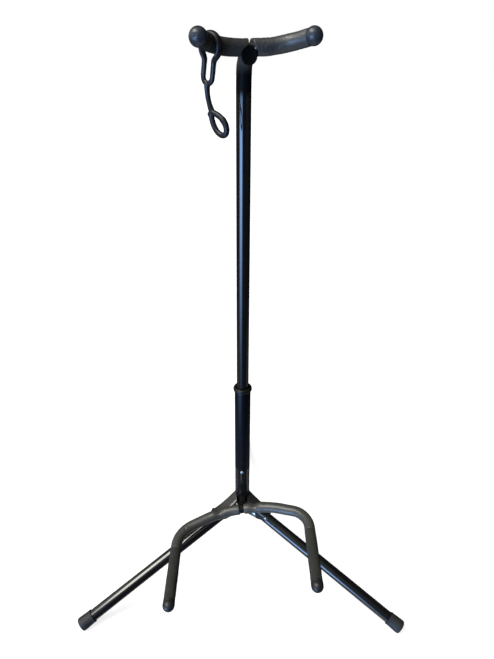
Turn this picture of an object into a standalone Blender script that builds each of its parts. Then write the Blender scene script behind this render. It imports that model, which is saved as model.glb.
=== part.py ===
"""Tubular guitar stand: a three-legged floor stand with a lower yoke and a neck yoke.

Metres, +Z up, the guitar goes in from -Y. The origin lies on the floor, in the middle of the stand's
outline; the column stands a little in front of it, because the rear leg reaches further than the yoke.
Every moving group hangs on an empty that sits on its joint's axis.
"""
import math

import bmesh
import bpy
from mathutils import Matrix, Vector

# Running gap between pieces that touch or turn on each other
GAP = 0.0003

# Column: a wide lower tube that carries the legs, and a thin upper tube that stands inside it
LOWER_TUBE_RADIUS = 0.0108
LOWER_TUBE_WALL = 0.0015
LOWER_TUBE_BOTTOM = 0.119
LOWER_TUBE_TOP = 0.3270
UPPER_TUBE_RADIUS = 0.008
UPPER_TUBE_WALL = 0.0011
COLLAR_LIP_RADIUS = 0.01265
COLLAR_LIP_HEIGHT = 0.0062
COLLAR_SPIGOT_LENGTH = 0.030
BOTTOM_PLUG_FLANGE = 0.0046
BOTTOM_PLUG_DEPTH = 0.024

# Cross rivet in the lower tube, on which the upper tube's shoe stands
STOP_RIVET_HEIGHT = 0.1855
STOP_RIVET_RADIUS = 0.0016
STOP_RIVET_HEAD_RADIUS = 0.0025
STOP_RIVET_HEAD_HEIGHT = 0.0013
SHOE_FLANGE = 0.006
SHOE_SPIGOT_LENGTH = 0.020
SHOE_NOTCH_DEPTH = 0.0035

# Legs: straight tubes on hinges under pressed-steel brackets
LEG_TUBE_RADIUS = 0.008
LEG_TUBE_WALL = 0.0012
LEG_CROSSING_HEIGHT = 0.1218
LEG_FOOT_REACH = 0.266
LEG_HINGE_REACH = 0.0265
LEG_INNER_OVERHANG = 0.0065
LEG_HEADINGS = {"left": -150.0, "right": -30.0, "rear": 90.0}
FOOT_RADIUS = 0.0096
FOOT_MOUTH_RADIUS = 0.0093
FOOT_LENGTH = 0.0205
FOOT_SOLE = 0.004
FOOT_FLAT_DEPTH = 0.0015

# Leg brackets: an inverted channel whose top plate slopes from the column to the outer edge
BRACKET_SHEET = 0.0015
BRACKET_RISE = 0.0062
BRACKET_INNER_REACH = 0.0075
BRACKET_OUTER_REACH = 0.050
BRACKET_LIP_DEPTH = 0.0062
BRACKET_BEND_RADIUS = 0.0042
BRACKET_TOP_STEEPNESS = 1.28
BRACKET_PIVOT_MARGIN = 0.0075
BRACKET_PIVOT_DEPTH = 0.0052
BRACKET_FRONT_HALF_GAP = 0.0128
BRACKET_FRONT_FREE = 0.0035
RIVET_RADIUS = 0.0020
RIVET_HEAD_RADIUS = 0.0040
RIVET_HEAD_HEIGHT = 0.0016
LEG_STOP_REACH = 0.0462
LEG_STOP_RADIUS = 0.0014
LEG_STOP_HEAD_RADIUS = 0.0026

# Lower yoke: a bent rod in a clip that rocks on a screw in front of the column
YOKE_ROD_RADIUS = 0.0040
YOKE_REACH = 0.0325
YOKE_RISE = 0.0112
YOKE_HEIGHT = LEG_CROSSING_HEIGHT + YOKE_RISE
YOKE_TILT = 12.4
YOKE_DROOP = 2.9
YOKE_STRAIGHT = 0.0090
YOKE_SHOULDER_RADIUS = 0.135
YOKE_SHOULDER_ANGLE = 22.0
YOKE_SHOULDER_RUN = 0.0175
YOKE_BEND_RADIUS = 0.0335
YOKE_ARM_LENGTH = 0.086
YOKE_COVER_RADIUS = 0.0075
YOKE_FOAM_RADIUS = 0.0077
YOKE_COVER_PAST_BEND = 0.004
YOKE_TIP_RADIUS = 0.0079
YOKE_TIP_SKIRT = 0.006
CLIP_WIDTH = 0.0064
CLIP_WALL = 0.0016
CLIP_BACK = 0.0018
SCREW_RADIUS = 0.0020
SCREW_HEAD_RADIUS = 0.0032
SCREW_HEAD_HEIGHT = 0.0018
SCREW_BITE = 0.0045
STOP_PIN_RADIUS = 0.0011
STOP_PIN_STANDOUT = 0.0025
YOKE_FOLD_RANGE = 90.0
MOUNT_BLOCK_WIDTH = 0.0076
MOUNT_BLOCK_HEIGHT = 0.0114

# Neck: the upper tube leans a little, then turns forward in a tight elbow
NECK_SWIVEL = 18.0
NECK_LEAN_START = 0.696
NECK_LEAN_RADIUS = 0.200
NECK_LEAN_ANGLE = 6.0
NECK_ELBOW_RADIUS = 0.0135
NECK_NOSE = 0.0025
NECK_PLUG_FLANGE = 0.0013
NECK_PLUG_DEPTH = 0.003
NECK_ROD_RADIUS = 0.0040
NECK_ROD_SETBACK = 0.0032
NECK_ROD_LIFT = 0.0070
NECK_ROD_OFFSET = 0.0017
NECK_ROD_ROLL = 1.5
NECK_HALF_WIDTH = 0.0558
NECK_STRAIGHT = 0.008
NECK_CURVE_END = 0.0505
NECK_FORWARD = 0.026
NECK_FORWARD_POWER = 3.8
NECK_RISE = 0.0084
NECK_RISE_POWER = 2.1
NECK_FOAM_RADIUS = 0.0079
NECK_FOAM_PART = 0.0014
NECK_NOTCH_HALF_WIDTH = 0.0058
BALL_RADIUS = 0.0086
BALL_FLAT = 0.0064

# Strap: a moulded rubber loop that hangs on the left neck arm
STRAP_PLACE = 0.0402
STRAP_CORD_RADIUS = 0.0020
STRAP_EYE_BREADTH = 1.4
STRAP_EYE_RADIUS = 0.0112
STRAP_LEAN = 9.7
STRAP_SLOT_SPREAD = 0.0117
STRAP_LOOP_DROP = 0.033
STRAP_BAND_DROP = 0.024
STRAP_BAND_SWAY = 0.0050
STRAP_BAND_BOW = 0.0014
STRAP_KNOB_RADIUS = 0.0034
STRAP_RING_CORD_RADIUS = 0.0021
STRAP_RING_LENGTH = 0.0260
STRAP_RING_WIDTH = 0.0138
STRAP_RING_TILT = 40.0

# How finely round pieces are cut into flats
TUBE_SIDES = 24
ROD_SIDES = 12
SLEEVE_SIDES = 16
STRAP_SIDES = 8

# Places that follow from the sizes above
BRACKET_HALF_INSIDE = LEG_TUBE_RADIUS + GAP
BRACKET_HALF_OUTSIDE = BRACKET_HALF_INSIDE + BRACKET_SHEET
LOWER_TUBE_BORE = LOWER_TUBE_RADIUS - LOWER_TUBE_WALL
CLIP_RING_INSIDE = YOKE_ROD_RADIUS + GAP
CLIP_RING_OUTSIDE = CLIP_RING_INSIDE + CLIP_WALL


def solve_leg_slope():
    """Angle of a leg below the horizontal whose foot ring dips by the flat's depth under the floor."""
    slope = 0.4
    for _ in range(30):
        end_height = FOOT_RADIUS * math.cos(slope) - FOOT_FLAT_DEPTH
        slope = math.atan2(LEG_CROSSING_HEIGHT - end_height, LEG_FOOT_REACH)
    return slope


LEG_SLOPE = solve_leg_slope()
LEG_HINGE_HEIGHT = LEG_CROSSING_HEIGHT - LEG_HINGE_REACH * math.tan(LEG_SLOPE)
LEG_HINGE_TO_END = (LEG_FOOT_REACH - LEG_HINGE_REACH) / math.cos(LEG_SLOPE)


def yoke_path(half_steps):
    """Points of the right half of the lower yoke in its own plane: sideways, forward."""
    first = math.radians(YOKE_SHOULDER_ANGLE)
    second = math.radians(90.0)
    runs = [
        (YOKE_STRAIGHT, 0.0, 1),
        (YOKE_SHOULDER_RADIUS * first, first, half_steps),
        (YOKE_SHOULDER_RUN, 0.0, 2),
        (YOKE_BEND_RADIUS * (second - first), second - first, half_steps),
        (YOKE_ARM_LENGTH, 0.0, 1),
    ]
    return walk(runs)


def walk(runs):
    """Follow straight runs and arcs (length, turn, steps) from the origin, heading along +X."""
    points = [Vector((0.0, 0.0))]
    heading = 0.0
    for length, turn, steps in runs:
        chord = length / steps
        if turn:
            chord *= math.sin(turn / steps / 2) / (turn / steps / 2)
        for _ in range(steps):
            middle = heading + turn / steps / 2
            points.append(points[-1] + chord * Vector((math.cos(middle), math.sin(middle))))
            heading += turn / steps
    return points


YOKE_END = yoke_path(8)[-1]
FRONT_REACH = YOKE_REACH + YOKE_END.y * math.cos(math.radians(YOKE_DROOP)) + YOKE_TIP_RADIUS
REAR_REACH = LEG_FOOT_REACH + FOOT_RADIUS * math.sin(LEG_SLOPE)
COLUMN_Y = (FRONT_REACH - REAR_REACH) / 2


def clear_scene():
    """Remove every object that the file holds at the start."""
    for item in list(bpy.data.objects):
        bpy.data.objects.remove(item, do_unlink=True)


def make_material(name, color, roughness, metallic):
    """A Principled material with the part's colour and finish."""
    material = bpy.data.materials.new(name)
    material.use_nodes = True
    shader = material.node_tree.nodes["Principled BSDF"]
    shader.inputs["Base Color"].default_value = (*color, 1.0)
    shader.inputs["Roughness"].default_value = roughness
    shader.inputs["Metallic"].default_value = metallic
    return material


def make_materials():
    """The stand's finishes, by name."""
    return {
        "black_lacquer": make_material("black_lacquer", (0.012, 0.013, 0.016), 0.22, 0.3),
        "bracket_paint": make_material("bracket_paint", (0.045, 0.046, 0.048), 0.55, 0.2),
        "rivet_steel": make_material("rivet_steel", (0.62, 0.63, 0.64), 0.28, 1.0),
        "moulded_black": make_material("moulded_black", (0.018, 0.019, 0.021), 0.5, 0.0),
        "foot_rubber": make_material("foot_rubber", (0.03, 0.033, 0.038), 0.7, 0.0),
        "smooth_cover": make_material("smooth_cover", (0.07, 0.075, 0.085), 0.6, 0.0),
        "rough_foam": make_material("rough_foam", (0.035, 0.036, 0.033), 0.9, 0.0),
        "soft_rubber": make_material("soft_rubber", (0.035, 0.042, 0.055), 0.5, 0.0),
    }


def empty(name, parent, location=(0, 0, 0), rotation=(0, 0, 0)):
    """An axis or a reference frame; it makes no solid."""
    item = bpy.data.objects.new(name, None)
    bpy.context.scene.collection.objects.link(item)
    item.parent = parent
    item.location = location
    item.rotation_euler = rotation
    return item


def add(name, mesh, parent, material=None, location=(0, 0, 0), rotation=(0, 0, 0)):
    """Place a mesh as one named piece."""
    mesh.name = name
    item = bpy.data.objects.new(name, mesh)
    bpy.context.scene.collection.objects.link(item)
    item.parent = parent
    item.location = location
    item.rotation_euler = rotation
    if material:
        mesh.materials.append(material)
    return item


def finish_mesh(work, smooth_angle=35.0):
    """Turn the faces outwards, shade round faces smooth and give back a mesh."""
    bmesh.ops.remove_doubles(work, verts=work.verts, dist=1e-7)
    bmesh.ops.recalc_face_normals(work, faces=work.faces)
    mesh = bpy.data.meshes.new("piece")
    work.to_mesh(mesh)
    work.free()
    mesh.shade_smooth()
    mesh.set_sharp_from_angle(angle=math.radians(smooth_angle))
    return mesh


def turned(profile, sides):
    """A solid of revolution about Z from a closed profile of (radius, height) points."""
    work = bmesh.new()
    rings = []
    for radius, height in profile:
        if radius < 1e-9:
            rings.append([work.verts.new((0, 0, height))] * sides)
            continue
        turn = [2 * math.pi * (k + 0.5) / sides for k in range(sides)]
        rings.append([work.verts.new((radius * math.cos(a), radius * math.sin(a), height)) for a in turn])
    count = len(rings)
    for i in range(count):
        here, after = rings[i], rings[(i + 1) % count]
        if here[0] is here[1] and after[0] is after[1]:
            continue
        for k in range(sides):
            corners = [here[k], here[(k + 1) % sides], after[(k + 1) % sides], after[k]]
            loop = list(dict.fromkeys(corners))
            if len(loop) > 2:
                work.faces.new(loop)
    return finish_mesh(work)


def tube_profile(inside, outside, low, high):
    """Closed profile of a plain ring or, with no inside, of a plain cylinder."""
    return [(inside, low), (outside, low), (outside, high), (inside, high)]


def rivet_profile(shank, head, head_height, head_at):
    """Closed profile of a rivet along Z with a domed head at each end, head_at from its middle."""
    crown = head_at + head_height * 0.8
    top = head_at + head_height
    half = [(shank, head_at), (head, head_at), (head * 0.7, crown), (0, top)]
    return [(radius, -height) for radius, height in reversed(half)] + half


def arc_profile(radius, height, start, end, steps):
    """Points of an arc in a turned profile: radius to the side, angles from the horizontal."""
    angles = [math.radians(start + (end - start) * k / steps) for k in range(steps + 1)]
    return [(radius * math.cos(a), height + radius * math.sin(a)) for a in angles]


def path_frames(points, closed=False):
    """Directions across a path, carried along it without twist."""
    count = len(points)
    tangents = []
    for i in range(count):
        before = points[i - 1] if closed or i else points[i]
        after = points[(i + 1) % count] if closed or i < count - 1 else points[i]
        tangents.append((after - before).normalized())
    side = tangents[0].orthogonal().normalized()
    if abs(tangents[0].z) < 0.9:
        side = tangents[0].cross(Vector((0, 0, 1))).normalized()
    frames = []
    for tangent in tangents:
        side = (side - tangent * side.dot(tangent)).normalized()
        frames.append((side, tangent.cross(side)))
    return frames


def ring_vertices(work, centre, frame, radius, sides):
    """One ring of points round a path."""
    turn = [2 * math.pi * (k + 0.5) / sides for k in range(sides)]
    return [work.verts.new(centre + radius * (frame[0] * math.cos(a) + frame[1] * math.sin(a))) for a in turn]


def skin(work, first, second):
    """Side faces between two rings."""
    sides = len(first)
    for k in range(sides):
        work.faces.new((first[k], first[(k + 1) % sides], second[(k + 1) % sides], second[k]))


def swept(points, outside, sides, inside=0.0, closed=False):
    """A round bar, tube or loop along a path; inside is the bore's radius."""
    work = bmesh.new()
    frames = path_frames(points, closed)
    outer = [ring_vertices(work, p, f, outside, sides) for p, f in zip(points, frames)]
    inner = [ring_vertices(work, p, f, inside, sides) for p, f in zip(points, frames)] if inside else []
    last = len(points) if closed else len(points) - 1
    for i in range(last):
        skin(work, outer[i], outer[(i + 1) % len(points)])
        if inner:
            skin(work, inner[(i + 1) % len(points)], inner[i])
    if inner and not closed:
        skin(work, inner[0], outer[0])
        skin(work, outer[-1], inner[-1])
    elif not closed:
        work.faces.new(list(reversed(outer[0])))
        work.faces.new(outer[-1])
    return finish_mesh(work)


def prism(outline, low, high, bend=0.0):
    """A flat outline of (x, z) points made thick along Y; bend rounds the last outline edge's two long sides."""
    work = bmesh.new()
    front = [work.verts.new((x, low, z)) for x, z in outline]
    back = [work.verts.new((x, high, z)) for x, z in outline]
    work.faces.new(front)
    work.faces.new(list(reversed(back)))
    skin(work, front, back)
    if bend:
        long_edges = [work.edges.get((ring[-1], ring[-2])) for ring in (front, back)]
        bmesh.ops.bevel(work, geom=long_edges, offset=bend, segments=3, profile=0.5, affect="EDGES")
    return finish_mesh(work, 20.0)


def block(low, high):
    """A plain box between two corners."""
    return prism([(low[0], low[2]), (high[0], low[2]), (high[0], high[2]), (low[0], high[2])], low[1], high[1])


def cut(target, tool_mesh, parent, location=(0, 0, 0), rotation=(0, 0, 0), operation="DIFFERENCE"):
    """Cut a piece with a hidden tool, or join the tool to it."""
    number = sum(1 for m in target.modifiers if m.type == "BOOLEAN")
    tool = add(f"{target.name}_tool_{number}", tool_mesh, parent, None, location, rotation)
    tool.hide_render = True
    tool.display_type = "WIRE"
    step = target.modifiers.new(f"{operation.lower()}_{number}", "BOOLEAN")
    step.operation = operation
    step.solver = "EXACT"
    step.object = tool
    return tool


# Base


def build_column(axis, finish):
    """Lower tube, its collar and bottom plug, and the rivet that the upper tube stands on."""
    lower = turned(tube_profile(LOWER_TUBE_BORE, LOWER_TUBE_RADIUS, LOWER_TUBE_BOTTOM, LOWER_TUBE_TOP), TUBE_SIDES)
    lower = add("lower_tube", lower, axis, finish["black_lacquer"])
    cut(lower, turned([(0, -0.02), (STOP_RIVET_RADIUS + GAP, -0.02), (STOP_RIVET_RADIUS + GAP, 0.02), (0, 0.02)],
                      ROD_SIDES), axis, (0, 0, STOP_RIVET_HEIGHT), (math.pi / 2, 0, 0))

    bore = UPPER_TUBE_RADIUS + GAP
    spigot = LOWER_TUBE_BORE - GAP
    lip_low = LOWER_TUBE_TOP + GAP
    lip_high = lip_low + COLLAR_LIP_HEIGHT
    profile = [
        (bore, lip_low - COLLAR_SPIGOT_LENGTH),
        (spigot, lip_low - COLLAR_SPIGOT_LENGTH),
        (spigot, lip_low),
        (LOWER_TUBE_RADIUS + 0.0004, lip_low),
        (COLLAR_LIP_RADIUS, lip_low + 0.0014),
        (COLLAR_LIP_RADIUS, lip_high - 0.0014),
        (COLLAR_LIP_RADIUS - 0.0012, lip_high),
        (bore, lip_high),
    ]
    add("collar", turned(profile, TUBE_SIDES), axis, finish["moulded_black"])

    flange_high = LOWER_TUBE_BOTTOM - GAP
    flange_low = flange_high - BOTTOM_PLUG_FLANGE
    profile = [
        (0, flange_low),
        (LOWER_TUBE_RADIUS - 0.0014, flange_low),
        (LOWER_TUBE_RADIUS - 0.0002, flange_low + 0.0012),
        (LOWER_TUBE_RADIUS - 0.0002, flange_high),
        (spigot, flange_high),
        (spigot, flange_high + BOTTOM_PLUG_DEPTH),
        (0, flange_high + BOTTOM_PLUG_DEPTH),
    ]
    add("bottom_plug", turned(profile, TUBE_SIDES), axis, finish["moulded_black"])

    head_at = LOWER_TUBE_RADIUS + GAP
    profile = rivet_profile(STOP_RIVET_RADIUS, STOP_RIVET_HEAD_RADIUS, STOP_RIVET_HEAD_HEIGHT, head_at)
    add("stop_rivet", turned(profile, ROD_SIDES), axis, finish["rivet_steel"],
        (0, 0, STOP_RIVET_HEIGHT), (math.pi / 2, 0, 0))


def leg_top(reach):
    """Height of a leg's upper side at a distance from the column's axis."""
    return LEG_CROSSING_HEIGHT - reach * math.tan(LEG_SLOPE) + LEG_TUBE_RADIUS / math.cos(LEG_SLOPE)


def bracket_top(reach):
    """Height of the bracket's top plate, outside, at a distance from the column's axis."""
    plate = BRACKET_SHEET * BRACKET_TOP_STEEPNESS
    outer_height = leg_top(BRACKET_OUTER_REACH) + 2 * LEG_STOP_RADIUS + 2 * GAP + plate
    inner_height = leg_top(BRACKET_INNER_REACH) + GAP + plate + BRACKET_RISE
    share = (reach - BRACKET_INNER_REACH) / (BRACKET_OUTER_REACH - BRACKET_INNER_REACH)
    return inner_height + share * (outer_height - inner_height)


def bracket_outline():
    """Side view of a bracket's cheek, whose last two points are the ends of its top plate."""
    inner = BRACKET_INNER_REACH
    outer = BRACKET_OUTER_REACH
    pivot_low = LEG_HINGE_HEIGHT - BRACKET_PIVOT_DEPTH
    top_inner = bracket_top(inner)
    top_outer = bracket_top(outer)
    outline = [(inner, pivot_low)]
    outline += [(LEG_HINGE_REACH - BRACKET_PIVOT_MARGIN, pivot_low)]
    outline += [(LEG_HINGE_REACH + BRACKET_PIVOT_MARGIN, pivot_low - 0.0015)]
    outline += [(outer - 0.002, top_outer - BRACKET_LIP_DEPTH)]
    outline += [(outer, top_outer - BRACKET_LIP_DEPTH * 0.4)]
    outline += [(outer, top_outer), (inner, top_inner)]
    return outline


def bracket_cavity():
    """Side view of the space under the top plate, open at both ends and below; its last edge is the top."""
    drop = BRACKET_SHEET * BRACKET_TOP_STEEPNESS
    far = BRACKET_OUTER_REACH + 0.01
    near = -0.01
    return [(near, 0.05), (far, 0.05), (far, bracket_top(far) - drop), (near, bracket_top(near) - drop)]


def build_leg(side, axis, finish):
    """One leg: its bracket and rivet on the column, and the tube and foot that fold."""
    heading = math.radians(LEG_HEADINGS[side])
    turn = (0, 0, heading)
    bracket = prism(bracket_outline(), -BRACKET_HALF_OUTSIDE, BRACKET_HALF_OUTSIDE, BRACKET_BEND_RADIUS)
    bracket = add(f"leg_bracket_{side}", bracket, axis, finish["bracket_paint"], (0, 0, 0), turn)
    cavity = prism(bracket_cavity(), -BRACKET_HALF_INSIDE, BRACKET_HALF_INSIDE, BRACKET_BEND_RADIUS - BRACKET_SHEET)
    cut(bracket, cavity, axis, (0, 0, 0), turn)
    column = turned([(0, 0), (LOWER_TUBE_RADIUS + GAP, 0), (LOWER_TUBE_RADIUS + GAP, 0.4), (0, 0.4)], TUBE_SIDES)
    cut(bracket, column, axis)
    if side != "rear":
        free = BRACKET_FRONT_HALF_GAP
        cut(bracket, block((-free, -0.1, 0.05), (free, -BRACKET_FRONT_FREE, 0.2)), axis)

    hinge = empty(f"leg_hinge_{side}", axis, rotated_reach(heading, LEG_HINGE_REACH, LEG_HINGE_HEIGHT), turn)
    along_hinge = (math.pi / 2, 0, 0)
    hole = [(0, -0.012), (RIVET_RADIUS + GAP, -0.012), (RIVET_RADIUS + GAP, 0.012), (0, 0.012)]
    cut(bracket, turned(hole, ROD_SIDES), hinge, (0, 0, 0), along_hinge)

    head_at = BRACKET_HALF_OUTSIDE + GAP
    rivet = rivet_profile(RIVET_RADIUS, RIVET_HEAD_RADIUS, RIVET_HEAD_HEIGHT, head_at)
    add(f"leg_rivet_{side}", turned(rivet, ROD_SIDES), hinge, finish["rivet_steel"], (0, 0, 0), along_hinge)
    stop_height = leg_top(LEG_STOP_REACH) + GAP + LEG_STOP_RADIUS
    stop_at = rotated_reach(heading, LEG_STOP_REACH, stop_height)
    across = (math.pi / 2, 0, heading)
    stop_hole = [(0, -0.012), (LEG_STOP_RADIUS + GAP, -0.012), (LEG_STOP_RADIUS + GAP, 0.012), (0, 0.012)]
    cut(bracket, turned(stop_hole, ROD_SIDES), axis, stop_at, across)
    stop = rivet_profile(LEG_STOP_RADIUS, LEG_STOP_HEAD_RADIUS, RIVET_HEAD_HEIGHT, head_at)
    add(f"leg_stop_{side}", turned(stop, ROD_SIDES), axis, finish["rivet_steel"], stop_at, across)

    lean = (0, LEG_SLOPE, 0)
    leg = empty(f"leg_{side}", hinge, (0, 0, 0), lean)
    along_leg = (0, math.pi / 2, 0)
    tube_end = LEG_HINGE_TO_END - FOOT_SOLE - GAP
    tube = turned(tube_profile(LEG_TUBE_RADIUS - LEG_TUBE_WALL, LEG_TUBE_RADIUS, -LEG_INNER_OVERHANG, tube_end),
                  TUBE_SIDES)
    tube = add(f"leg_tube_{side}", tube, leg, finish["black_lacquer"], (0, 0, 0), along_leg)
    cut(tube, turned(hole, ROD_SIDES), hinge, (0, 0, 0), along_hinge)

    mouth = LEG_HINGE_TO_END - FOOT_LENGTH
    bore = LEG_TUBE_RADIUS + GAP
    profile = [
        (0, tube_end + GAP),
        (bore, tube_end + GAP),
        (bore, mouth),
        (FOOT_MOUTH_RADIUS - 0.0006, mouth),
        (FOOT_MOUTH_RADIUS, mouth + 0.0015),
        (FOOT_RADIUS, LEG_HINGE_TO_END - 0.006),
        (FOOT_RADIUS, LEG_HINGE_TO_END),
        (0, LEG_HINGE_TO_END),
    ]
    foot = add(f"foot_{side}", turned(profile, TUBE_SIDES), leg, finish["foot_rubber"], (0, 0, 0), along_leg)
    floor = block((-0.4, -0.4, -0.05), (0.4, 0.4, 0.0))
    cut(foot, floor, None)


def rotated_reach(heading, reach, height):
    """A point at a distance from the column's axis, in a heading."""
    return (reach * math.cos(heading), reach * math.sin(heading), height)


# Lower yoke


def build_yoke_mount(axis, finish):
    """The block welded to the column's front, and the screw that the clip rocks on."""
    face = YOKE_REACH - YOKE_CLIP_DEPTH
    half = MOUNT_BLOCK_WIDTH / 2
    low = YOKE_HEIGHT - MOUNT_BLOCK_HEIGHT / 2
    mount = block((-half, -face + GAP, low), (half, -LOWER_TUBE_RADIUS, low + MOUNT_BLOCK_HEIGHT))
    mount = add("yoke_mount", mount, axis, finish["bracket_paint"])
    column = turned([(0, 0), (LOWER_TUBE_RADIUS + GAP, 0), (LOWER_TUBE_RADIUS + GAP, 0.4), (0, 0.4)], TUBE_SIDES)
    cut(mount, column, axis)
    hole = turned([(0, 0), (SCREW_RADIUS + GAP, 0), (SCREW_RADIUS + GAP, 0.02), (0, 0.02)], ROD_SIDES)
    into = (math.pi / 2, 0, 0)
    cut(mount, hole, axis, (0, -(face - SCREW_BITE - GAP), YOKE_HEIGHT), into)
    head_low = face + CLIP_BACK + GAP
    shank_end = face - SCREW_BITE
    profile = [
        (0, shank_end),
        (SCREW_RADIUS, shank_end),
        (SCREW_RADIUS, head_low),
        (SCREW_HEAD_RADIUS, head_low),
        (SCREW_HEAD_RADIUS, head_low + SCREW_HEAD_HEIGHT * 0.5),
        (SCREW_HEAD_RADIUS * 0.7, head_low + SCREW_HEAD_HEIGHT),
        (0, head_low + SCREW_HEAD_HEIGHT),
    ]
    add("yoke_screw", turned(profile, ROD_SIDES), axis, finish["rivet_steel"], (0, 0, YOKE_HEIGHT), into)


YOKE_CLIP_DEPTH = CLIP_RING_OUTSIDE + SCREW_HEAD_HEIGHT + 2 * GAP + CLIP_BACK + 0.0006


def build_yoke_clip(rock, finish):
    """The clip: a ring round the rod, with a back plate on the screw and a slot for the stop pin."""
    half = CLIP_WIDTH / 2
    ring = turned([(0, -half), (CLIP_RING_OUTSIDE, -half), (CLIP_RING_OUTSIDE, half), (0, half)], TUBE_SIDES)
    clip = add("yoke_clip", ring, rock, finish["moulded_black"], (0, 0, 0), (0, math.pi / 2, 0))
    depth = YOKE_CLIP_DEPTH
    body = block((-half, 0.0, -CLIP_RING_OUTSIDE + 0.0002), (half, depth, CLIP_RING_OUTSIDE - 0.0002))
    cut(clip, body, rock, operation="UNION")
    ring_back = CLIP_RING_OUTSIDE
    inner = CLIP_RING_OUTSIDE - 0.0014
    pocket = block((-0.01, ring_back, -inner), (0.01, depth - CLIP_BACK, inner))
    cut(clip, pocket, rock)
    bore = turned([(0, -0.01), (CLIP_RING_INSIDE, -0.01), (CLIP_RING_INSIDE, 0.01), (0, 0.01)], TUBE_SIDES)
    cut(clip, bore, rock, (0, 0, 0), (0, math.pi / 2, 0))
    hole = turned([(0, 0), (SCREW_RADIUS + GAP, 0), (SCREW_RADIUS + GAP, 0.02), (0, 0.02)], ROD_SIDES)
    cut(clip, hole, rock, (0, ring_back, 0), (-math.pi / 2, 0, 0))
    reach = YOKE_ROD_RADIUS + STOP_PIN_STANDOUT + 0.0005
    wedge = [(0.0, 0.0)] + [(-reach * math.sin(math.radians(a)), reach * math.cos(math.radians(a)))
                            for a in range(17, -114, -10)]
    slot_half = STOP_PIN_RADIUS + 0.0004
    slot = prism(wedge, -slot_half, slot_half)
    cut(clip, slot, rock, (0, 0, 0), (0, 0, math.pi / 2))


def build_yoke(fold, finish):
    """The bent rod with its covers, foam, tips and stop pin, in the rod's own plane."""
    half = yoke_path(8)
    right = [Vector((p.x, -p.y, 0)) for p in half]
    left = [Vector((-p.x, -p.y, 0)) for p in half[:0:-1]]
    add("yoke_rod", swept(left + right, YOKE_ROD_RADIUS, ROD_SIDES), fold, finish["black_lacquer"])

    bore = YOKE_ROD_RADIUS + GAP
    bend_end = right[-2]
    tip_centre = right[-1]
    cover_end = bend_end + Vector((0, -YOKE_COVER_PAST_BEND, 0))
    foam_end = tip_centre + Vector((0, YOKE_TIP_SKIRT + GAP, 0))
    for side, sign in (("left", -1), ("right", 1)):
        mirror = Matrix.Diagonal((sign, 1, 1))
        start = Vector((CLIP_WIDTH / 2 + GAP, 0, 0))
        cover = [mirror @ p for p in [start] + right[1:-1] + [cover_end]]
        add(f"yoke_cover_{side}", swept(cover, YOKE_COVER_RADIUS, SLEEVE_SIDES, bore), fold, finish["smooth_cover"])
        foam = [mirror @ p for p in (cover_end + Vector((0, -GAP, 0)), foam_end)]
        add(f"arm_foam_{side}", swept(foam, YOKE_FOAM_RADIUS, SLEEVE_SIDES, bore), fold, finish["rough_foam"])
        profile = [(0, 0.0035 + GAP), (bore, 0.0035 + GAP), (bore, -YOKE_TIP_SKIRT)]
        profile += [(YOKE_TIP_RADIUS - 0.0004, -YOKE_TIP_SKIRT)]
        profile += arc_profile(YOKE_TIP_RADIUS, 0.0, 0, 80, 5)
        profile += [(0, YOKE_TIP_RADIUS)]
        add(f"arm_tip_{side}", turned(profile, SLEEVE_SIDES), fold, finish["soft_rubber"],
            mirror @ tip_centre, (math.pi / 2, 0, 0))

    pin = turned([(0, 0), (STOP_PIN_RADIUS, 0), (STOP_PIN_RADIUS, STOP_PIN_STANDOUT - GAP),
                  (0, STOP_PIN_STANDOUT - GAP)], ROD_SIDES)
    add("yoke_stop_pin", pin, fold, finish["rivet_steel"], (0, 0, YOKE_ROD_RADIUS + GAP),
        (math.radians(-YOKE_DROOP), 0, 0))


# Column top and neck yoke


def neck_path():
    """Points of the upper tube's leaning and bent top, forward and up, from where the lean starts."""
    lean = math.radians(NECK_LEAN_ANGLE)
    runs = [
        (NECK_LEAN_RADIUS * lean, lean, 3),
        (NECK_ELBOW_RADIUS * (math.pi / 2 - lean), math.pi / 2 - lean, 10),
        (NECK_NOSE, 0.0, 1),
    ]
    points = walk(runs)
    return [Vector((0, -p.y, NECK_LEAN_START + p.x)) for p in points]


def neck_arm(place):
    """A point of the neck rod's right half at a distance from its middle, in the rod's frame."""
    share = max(0.0, (place - NECK_STRAIGHT) / (NECK_HALF_WIDTH - NECK_STRAIGHT))
    return Vector((place, -NECK_FORWARD * share ** NECK_FORWARD_POWER, NECK_RISE * share ** NECK_RISE_POWER))


def neck_direction(place):
    """Direction of the neck rod's centreline, away from the column."""
    step = 0.0002
    return (neck_arm(place + step) - neck_arm(place - step)).normalized()


def build_shoe(axis, finish):
    """The nylon shoe in the upper tube's lower end, notched over the stop rivet."""
    bottom = STOP_RIVET_HEIGHT + STOP_RIVET_RADIUS + GAP - SHOE_NOTCH_DEPTH
    flange_top = bottom + SHOE_NOTCH_DEPTH + SHOE_FLANGE
    outside = LOWER_TUBE_BORE - GAP
    spigot = UPPER_TUBE_RADIUS - UPPER_TUBE_WALL - GAP
    profile = [
        (0, bottom),
        (outside - 0.0008, bottom),
        (outside, bottom + 0.0008),
        (outside, flange_top),
        (spigot, flange_top),
        (spigot, flange_top + SHOE_SPIGOT_LENGTH),
        (0, flange_top + SHOE_SPIGOT_LENGTH),
    ]
    shoe = add("tube_shoe", turned(profile, TUBE_SIDES), axis, finish["moulded_black"])
    half = STOP_RIVET_RADIUS + GAP
    notch = block((-half, -0.02, bottom - 0.001), (half, 0.02, bottom + SHOE_NOTCH_DEPTH))
    cut(shoe, notch, axis)
    return flange_top


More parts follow.
